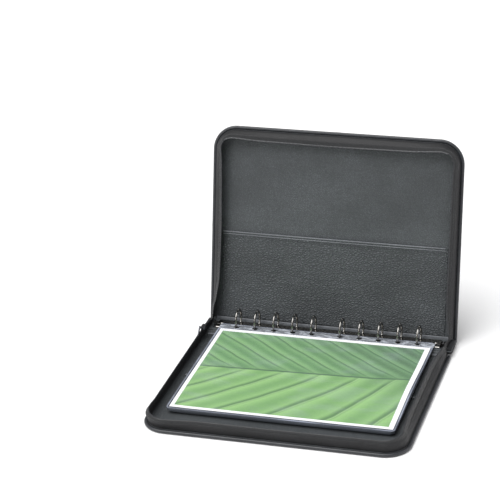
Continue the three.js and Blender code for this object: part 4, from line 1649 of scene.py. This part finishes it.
# ------------------------------------------------------------------ handle
@dataclass
class Handle(Part):
    """The strap handle, padded, with two rows of stitching on its outer face."""

    margin: float = 1.9

    def _half_width(self, x: float) -> float:
        """Half of the strap's width: a straight grip, a narrow neck and a pointed head at each end.

        Args:
            x: the place along it, from its middle.

        Returns:
            Half of its width there.
        """
        low, high = (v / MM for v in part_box("handle_strap"))
        tip = high.x
        grip, neck, head = 8.2, 4.5, (high.y - low.y) / 2
        x = abs(x)
        if x < tip - 34:
            return grip
        if x < tip - 31:
            return grip + (neck - grip) * smooth((x - tip + 34) / 3)
        if x < tip - 25.5:
            return neck
        if x < tip - 20:
            return neck + (head - neck) * smooth((x - tip + 25.5) / 5.5)
        share = (x - tip + 20) / 20
        return max(head * math.sqrt(max(1 - share**2.2, 0.0)) * (1 - 0.18 * share), 0.15)

    def build(self) -> None:
        """Builds the strap and its stitching."""
        low, high = (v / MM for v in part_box("handle_strap"))
        middle, tip = (low.y + high.y) / 2, high.x
        xs = np.concatenate([np.linspace(0, tip - 36, 24), np.linspace(tip - 34.5, tip - 0.02, 44)])
        xs = np.concatenate([-xs[::-1], xs[1:]])
        maker = MeshMaker()
        rows = []
        for x in xs:
            half = self._half_width(x)
            row = []
            ring = 28
            for i in range(ring):
                a = 2 * math.pi * i / ring
                across = math.copysign(abs(math.cos(a)) ** 0.55, math.cos(a))
                up = math.copysign(abs(math.sin(a)) ** 0.55, math.sin(a))
                groove = 0.22 * math.exp(-(((abs(across) * half - (half - self.margin)) / 0.7) ** 2))
                thick = ((high.z - low.z) / 2 - groove) * min(1.0, 0.55 + half / 9)
                row.append((x, middle + across * half, (low.z + high.z) / 2 + up * thick))
            rows.append(row)
        maker.loft(rows)
        made = maker.make("handle_strap_soft", sharp_deg=60)
        self.keep(made, "outer", Finish.OUTER, "handle", ["handle_strap"])
        thread = MeshMaker()
        for side in (-1, 1):
            row = [(x, middle + side * (self._half_width(x) - self.margin), low.z + 0.22)
                   for x in np.linspace(-tip + 3, tip - 3, 150) if self._half_width(x) > self.margin + 0.4]
            stitch_row(thread, row, lambda k: Vector((0, 0, -1)), pitch=3.0, length=2.1)
        self.keep(thread.make("handle_stitching"), "thread", Finish.OUTER, "handle")


# ------------------------------------------------------------------ rings
@dataclass
class Rings(Part):
    """The two-part rings: round wire with stepped tips that meet at the top."""

    wire: float = 3.0
    count: int = 10

    @property
    def radius(self) -> float:
        """The radius of the rings' centre line, in millimetres."""
        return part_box("front_ring_1")[1].z / MM - self.case.ring[1] - self.wire / 2

    def _half(self, name: str, x: float, side: int, foot: float) -> bpy.types.Object:
        """One ring half.

        Args:
            name: its name.
            x: its place along the spine.
            side: -1 at the front, 1 behind.
            foot: the angle where it enters the rail.

        Returns:
            The object.
        """
        yc, zc = self.case.ring
        radius = self.radius
        rows = []
        steps, around = 40, 16
        tip = 0.16 / radius
        for i in range(steps + 1):
            angle = tip + (foot - tip) * i / steps
            end = min((angle - tip) * radius / 0.7, 1.0)
            thick = max(self.wire / 2 * math.sqrt(1 - (1 - end) ** 2), self.wire * 0.32)
            # A shallow collar just below the tip, where the two halves lock.
            thick *= 1 - 0.1 * math.exp(-(((angle - 0.22) / 0.05) ** 2))
            row = []
            for j in range(around):
                a = 2 * math.pi * j / around
                reach = radius + thick * math.cos(a)
                across = side * reach * math.sin(angle)
                row.append((x + thick * math.sin(a), yc + across, zc + reach * math.cos(angle)))
            rows.append(row)
        maker = MeshMaker()
        maker.loft(rows)
        return maker.make(name, sharp_deg=50)

    def build(self, nodes: dict[str, bpy.types.Object]) -> None:
        """Builds all the ring halves and dresses their blades and levers.

        Args:
            nodes: the frame's nodes by name.
        """
        for label, side, body in (("front", -1, "front_rings"), ("rear", 1, "rear_rings")):
            for i in range(1, self.count + 1):
                node = f"{label}_ring_{i}"
                low, high = (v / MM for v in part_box(node))
                foot = math.acos(max(-0.99, (low.z + self.wire * 0.34 - self.case.ring[1]) / self.radius))
                made = self._half(f"{node}_wire", (low.x + high.x) / 2, side, foot)
                self.keep(made, "steel", Finish.STEEL, body, [node])
            self.wardrobe.dress_node(nodes[f"{label}_ring_blade"], "steel")
        for lever in ("ring_lever_left", "ring_lever_right"):
            self.wardrobe.dress_node(nodes[lever], "steel")


# ------------------------------------------------------------------ pages
@dataclass
class Pages(Part):
    """The clear sleeves: the stack below, and the top sleeve with its print."""

    sleeves: int = 9
    film: float = 0.32
    corner: float = 5.0
    hole_radius: float = 3.9
    tuck: float = 3.4

    def __post_init__(self) -> None:
        """Reads the sleeves' places from the frame."""
        self.stack_low, self.stack_high = (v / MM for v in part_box("sleeve_stack"))
        self.top_low, self.top_high = (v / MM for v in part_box("top_sleeve"))
        self.print_low, self.print_high = (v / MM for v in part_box("leaf_print"))
        self.strip_front = self.print_high.y + 0.3
        rings = Rings(self.case, self.wardrobe)
        drop = self.case.ring[1] - self.stack_high.z
        self.hole_y = self.case.ring[0] - math.sqrt(rings.radius**2 - drop**2)
        boxes = [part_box(f"front_ring_{i}") for i in range(1, rings.count + 1)]
        self.holes = [(low.x + high.x) / 2 / MM for low, high in boxes]

    def lift(self, x: float, y: float) -> float:
        """How far the top sleeve rises off the stack: its right-hand edge lifts in a slow wave.

        Args:
            x: along the spine.
            y: towards the hinge.

        Returns:
            The rise.
        """
        half = self.top_high.x
        out = smooth((x / half - 0.55) / 0.45)
        along = math.exp(-(((y - (self.top_low.y + 95)) / 55) ** 2))
        left = smooth((-x / half - 0.8) / 0.2) * 0.5 * math.exp(-(((y + 40) / 60) ** 2))
        fade = 1 - smooth((y - self.strip_front + 40) / 40)
        return (3.2 * out * along + left) * fade

    def _sheet(self, maker: MeshMaker, low: Flat, high: Flat, z0: float, z1: float, follow: bool,
               corner: float) -> None:
        """Adds a thin sheet with two round corners at its free edge, as a closed slab.

        Args:
            maker: takes the sheet.
            low: its low (x, y) corner.
            high: its high corner.
            z0: its underside.
            z1: its upper side.
            follow: whether it rises with the top sleeve's edge.
            corner: radius of the round corners.
        """
        xs = np.unique(np.concatenate([np.linspace(low[0], high[0], 58), [low[0] + 0.6, high[0] - 0.6]]))
        rows = []
        for x in xs:
            edge = min(x - low[0], high[0] - x)
            front = low[1]
            if edge < corner:
                front += corner - math.sqrt(max(corner**2 - (corner - edge) ** 2, 0.0))
            ys = front + (high[1] - front) * np.linspace(0, 1, 34)
            lifted = [self.lift(x, y) if follow else 0.0 for y in ys]
            under = [(x, y, z0 + d) for y, d in zip(ys, lifted)]
            over = [(x, y, z1 + d) for y, d in zip(ys, lifted)]
            rows.append(under + over[::-1])
        maker.loft(rows)

    def _strip(self, maker: MeshMaker, z: Flat, y: Flat, half: float) -> None:
        """Adds the punched strip: a stretch of film round each hole.

        Args:
            maker: takes the strip.
            z: its underside and upper side.
            y: its front and back edges.
            half: half of its length.
        """
        cuts = sorted(self.holes)
        edges = [-half] + [(a + b) / 2 for a, b in zip(cuts, cuts[1:])] + [half]
        for x, left, right in zip(cuts, edges, edges[1:]):
            self._punched(maker, x, (left, right), y, z)

    def _punched(self, maker: MeshMaker, x: float, ends: Flat, y: Flat, z: Flat) -> None:
        """Adds one stretch of strip round one hole, as a closed ring of sections.

        Args:
            maker: takes the stretch.
            x: the hole's place along the spine.
            ends: the stretch's left and right ends.
            y: its front and back edges.
            z: its underside and upper side.
        """
        around, rings = 48, 4
        never = 1e9
        rows = []
        for i in range(around):
            a = 2 * math.pi * i / around
            c, s = math.cos(a), math.sin(a)
            to_end = (ends[c > 0] - x) / c if abs(c) > 1e-6 else never
            to_edge = (y[s > 0] - self.hole_y) / s if abs(s) > 1e-6 else never
            reach = min(to_end, to_edge) - self.hole_radius
            spots = []
            for share in np.linspace(0, 1, rings):
                r = self.hole_radius + reach * share
                spots.append((x + r * c, self.hole_y + r * s))
            under = [(px, py, z[0]) for px, py in spots]
            over = [(px, py, z[1]) for px, py in spots]
            rows.append(under + over[::-1])
        maker.loft(rows, loop=True)

    def stack(self) -> None:
        """The sleeves under the top one, each a little out of line, and their strips pressed together."""
        maker = MeshMaker()
        bottom, top = self.stack_low.z, self.stack_high.z
        pitch = (top - bottom) / self.sleeves
        for i in range(self.sleeves):
            z = bottom + pitch * i
            shift = 0.35 * math.sin(i * 2.4)
            tucked = (1 - i / (self.sleeves - 1)) ** 1.3
            slip = 0.2 * (1 + math.sin(i * 1.9)) + self.tuck * tucked
            low = (self.stack_low.x + 0.4 + shift + 0.4 * self.tuck * tucked, self.stack_low.y + slip)
            high = (self.stack_high.x - 0.4 + shift - 0.4 * self.tuck * tucked, self.strip_front - 2)
            self._sheet(maker, low, high, z, z + pitch * 0.72, False, self.corner)
        made = maker.make("sleeve_stack_films")
        self.keep(made, "stack", Finish.FILM, "page_stack", ["sleeve_stack"])
        strips = MeshMaker()
        strip_bottom = top - 0.6
        edges = (self.strip_front - 3, self.stack_high.y - 0.3)
        for levels in ((strip_bottom, strip_bottom + 0.26), (strip_bottom + 0.32, top)):
            self._strip(strips, levels, edges, self.stack_high.x - 0.5)
        self.keep(strips.make("sleeve_stack_strips", weld=0.001), "strip", Finish.FILM, "page_stack")

    def top_sleeve(self) -> None:
        """The top sleeve: back film, clear front film, welded rims and the punched strip."""
        low, high = self.top_low, self.top_high
        maker = MeshMaker()
        for z0, z1 in ((low.z, low.z + self.film), (high.z - 0.25, high.z)):
            self._sheet(maker, (low.x, low.y), (high.x, self.strip_front), z0, z1, True, self.corner)
        made = maker.make("top_sleeve_films")
        self.keep(made, "film", Finish.FILM, "top_page", ["top_sleeve"])
        rims = MeshMaker()
        self._rims(rims)
        self.keep(rims.make("top_sleeve_welds"), "weld", Finish.FILM, "top_page")
        strip = MeshMaker()
        self._strip(strip, (low.z, low.z + 0.6), (self.strip_front - 0.4, high.y), high.x)
        self.keep(strip.make("top_sleeve_strip", weld=0.001), "strip", Finish.FILM, "top_page")
        bead = MeshMaker()
        bead.loft([
            [(x, high.y - 0.5 + a, low.z + 0.5 + b) for a, b in rounded_section(0.9, 0.8, 0.38, 2)]
            for x in np.arange(low.x + 0.5, high.x, 6.0)
        ])
        self.keep(bead.make("top_sleeve_strip_edge"), "weld", Finish.FILM, "top_page")

    def _rims(self, maker: MeshMaker) -> None:
        """Adds the welded rims down both sides and along the free edge.

        Args:
            maker: takes the rims.
        """
        low, high = self.top_low, self.top_high
        inset = 1.2
        near, far = low.x + self.corner, high.x - self.corner
        path = [(low.x + inset, y) for y in np.linspace(self.strip_front - 1, low.y + self.corner, 40)]
        for cx, start in ((near, 180), (far, 270)):
            for i in range(1, 9):
                a = math.radians(start + 90 * i / 8)
                reach = self.corner - inset
                path.append((cx + reach * math.cos(a), low.y + self.corner + reach * math.sin(a)))
            if start == 180:
                path += [(x, low.y + inset) for x in np.linspace(near + 4, far - 4, 60)]
        side = np.linspace(low.y + self.corner + 2, self.strip_front - 1, 40)
        path += [(high.x - inset, y) for y in side]
        rows = []
        points = np.array(path)
        along = np.gradient(points, axis=0)
        along /= np.linalg.norm(along, axis=1)[:, None]
        z0, z1 = low.z + 0.1, high.z + 0.05
        for (x, y), (ax, ay) in zip(path, along):
            lift = self.lift(x, y)
            nx, ny = -ay, ax
            row = []
            for a, b in rounded_section(2.0, z1 - z0, 0.45, 2):
                row.append((x + nx * a, y + ny * a, (z0 + z1) / 2 + b + lift))
            rows.append(row)
        maker.loft(rows)

    def print_sheet(self) -> None:
        """The printed sheet, which follows the sleeve's lift."""
        low, high = self.print_low, self.print_high
        maker = MeshMaker()
        self._sheet(maker, (low.x, low.y), (high.x, high.y), low.z, high.z, True, 0.0)
        made = maker.make("leaf_print_sheet")
        self.keep(made, "print", Finish.PRINT, "top_page", ["leaf_print"])

    def build(self) -> None:
        """Builds every sleeve and the print."""
        self.stack()
        self.top_sleeve()
        self.print_sheet()


# ------------------------------------------------------------------ zip slider
@dataclass
class Slider(Part):
    """The zip's slider and pull, which stay as the frame has them."""

    def build(self, nodes: dict[str, bpy.types.Object]) -> None:
        """Dresses the slider and the pull."""
        for node in ("zip_slider", "zip_pull"):
            self.wardrobe.dress_node(nodes[node], "nickel")


# ------------------------------------------------------------------ studio
@dataclass(frozen=True)
class Studio:
    """A pale floor, soft lights and the camera.

    Args:
        azimuth: the camera's bearing about the case, in degrees.
        elevation: the camera's height angle, in degrees.
        roll: its tilt about the line of sight, in degrees.
        distance: from the aim, in metres.
        aim: the point on the floor that it looks at, in metres.
        lens: focal length in millimetres on a 36 mm sensor.
    """

    azimuth: float = 17.387
    elevation: float = 24.518
    roll: float = -2.621
    distance: float = 3.0302
    aim: Point = (-0.17939, 0.40077, 0.0)
    lens: float = 153.04

    def camera(self) -> None:
        """Sets the camera."""
        a, e, r = (math.radians(v) for v in (self.azimuth, self.elevation, self.roll))
        back = Vector((math.sin(a) * math.cos(e), -math.cos(a) * math.cos(e), math.sin(e)))
        right = Vector((math.cos(a), math.sin(a), 0.0))
        up = back.cross(right)
        across = right * math.cos(r) + up * math.sin(r)
        above = -right * math.sin(r) + up * math.cos(r)
        data = bpy.data.cameras.new("camera")
        data.lens = self.lens
        data.sensor_width = 36.0
        camera = bpy.data.objects.new("camera", data)
        turn = Matrix((across, above, back)).transposed().to_4x4()
        camera.matrix_world = Matrix.Translation(Vector(self.aim) + back * self.distance) @ turn
        bpy.context.scene.collection.objects.link(camera)
        bpy.context.scene.camera = camera

    @staticmethod
    def _panel(name: str, place: Point, aim: Point, size: Flat, power: float, tint: Point) -> None:
        """Adds a soft rectangular light that faces its aim.

        Args:
            name: its name.
            place: where it is, in metres.
            aim: the point that it faces.
            size: its two sides, in metres.
            power: in watts.
            tint: its colour.
        """
        data = bpy.data.lights.new(name, "AREA")
        data.shape = "RECTANGLE"
        data.size, data.size_y = size
        data.energy = power
        data.color = tint
        lamp = bpy.data.objects.new(name, data)
        lamp.location = place
        lamp.rotation_euler = (Vector(aim) - Vector(place)).to_track_quat("-Z", "Y").to_euler()
        bpy.context.scene.collection.objects.link(lamp)

    @staticmethod
    def _sky(place: Point, angle: float, power: float) -> None:
        """Adds a broad, distant soft light, which reaches the whole floor evenly.

        Args:
            place: the direction that it comes from.
            angle: how broad it is, in degrees.
            power: its strength.
        """
        data = bpy.data.lights.new("sky", "SUN")
        data.energy = power
        data.angle = math.radians(angle)
        lamp = bpy.data.objects.new("sky", data)
        lamp.rotation_euler = Vector(place).to_track_quat("Z", "Y").to_euler()
        bpy.context.scene.collection.objects.link(lamp)

    def lights(self) -> None:
        """Sets the lights and the surroundings."""
        self._sky((-0.3, -0.33, 1.0), 55.0, 3.3)
        self._panel("front", (-1.3, -1.5, 0.9), (0, 0.1, 0.08), (0.9, 0.7), 9.0, (1.0, 0.99, 0.97))
        self._panel("right", (1.5, 0.4, 0.7), (0.1, 0.1, 0.1), (0.5, 1.2), 5.0, (0.97, 0.98, 1.0))
        world = bpy.data.worlds.new("studio")
        world.use_nodes = True
        world.node_tree.nodes["Background"].inputs[0].default_value = (1.0, 1.0, 1.0, 1.0)
        world.node_tree.nodes["Background"].inputs[1].default_value = 0.36
        bpy.context.scene.world = world
        bpy.context.scene.view_settings.view_transform = "Standard"

    @staticmethod
    def floor() -> None:
        """The pale floor that the case lies on."""
        half = 6.0
        corners = [(-half, -half, 0), (half, -half, 0), (half, half, 0), (-half, half, 0)]
        mesh = bpy.data.meshes.new("floor")
        mesh.from_pydata(corners, [], [(0, 1, 2, 3)])
        floor = bpy.data.objects.new("floor", mesh)
        floor.location.z = -0.0004
        material, sh, surface = new_material("Pale floor")
        tone = sh.noise(object_space(sh), 3.0, 2.0)
        sh.link(sh.mix(tone, linear(243, 243, 244), linear(246, 246, 246)), surface.inputs["Base Color"])
        surface.inputs["Roughness"].default_value = 0.7
        mesh.materials.append(material)
        bpy.context.scene.collection.objects.link(floor)

    def build(self) -> None:
        """Sets the whole studio."""
        self.camera()
        self.lights()
        self.floor()


def main() -> None:
    """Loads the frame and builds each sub-assembly."""
    logging.basicConfig(level=logging.INFO, format="%(name)s: %(message)s")
    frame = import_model()
    nodes = frame["nodes"]
    case = CaseFrame.read(frame)
    wardrobe = Wardrobe()
    Studio().build()
    back = Cover(case, wardrobe, Side.BACK, BACK_LEAN, BACK_TAPE_LEAN, pocket_swell=0.3)
    front = Cover(case, wardrobe, Side.FRONT, FRONT_LEAN, FRONT_TAPE_LEAN, pocket_swell=1.6)
    for cover in (back, front):
        cover.build(nodes)
    Spine(case, wardrobe).build(nodes, back, front)
    Handle(case, wardrobe).build()
    Rings(case, wardrobe).build(nodes)
    Pages(case, wardrobe).build()
    Slider(case, wardrobe).build(nodes)


if __name__ == "__main__":
    main()
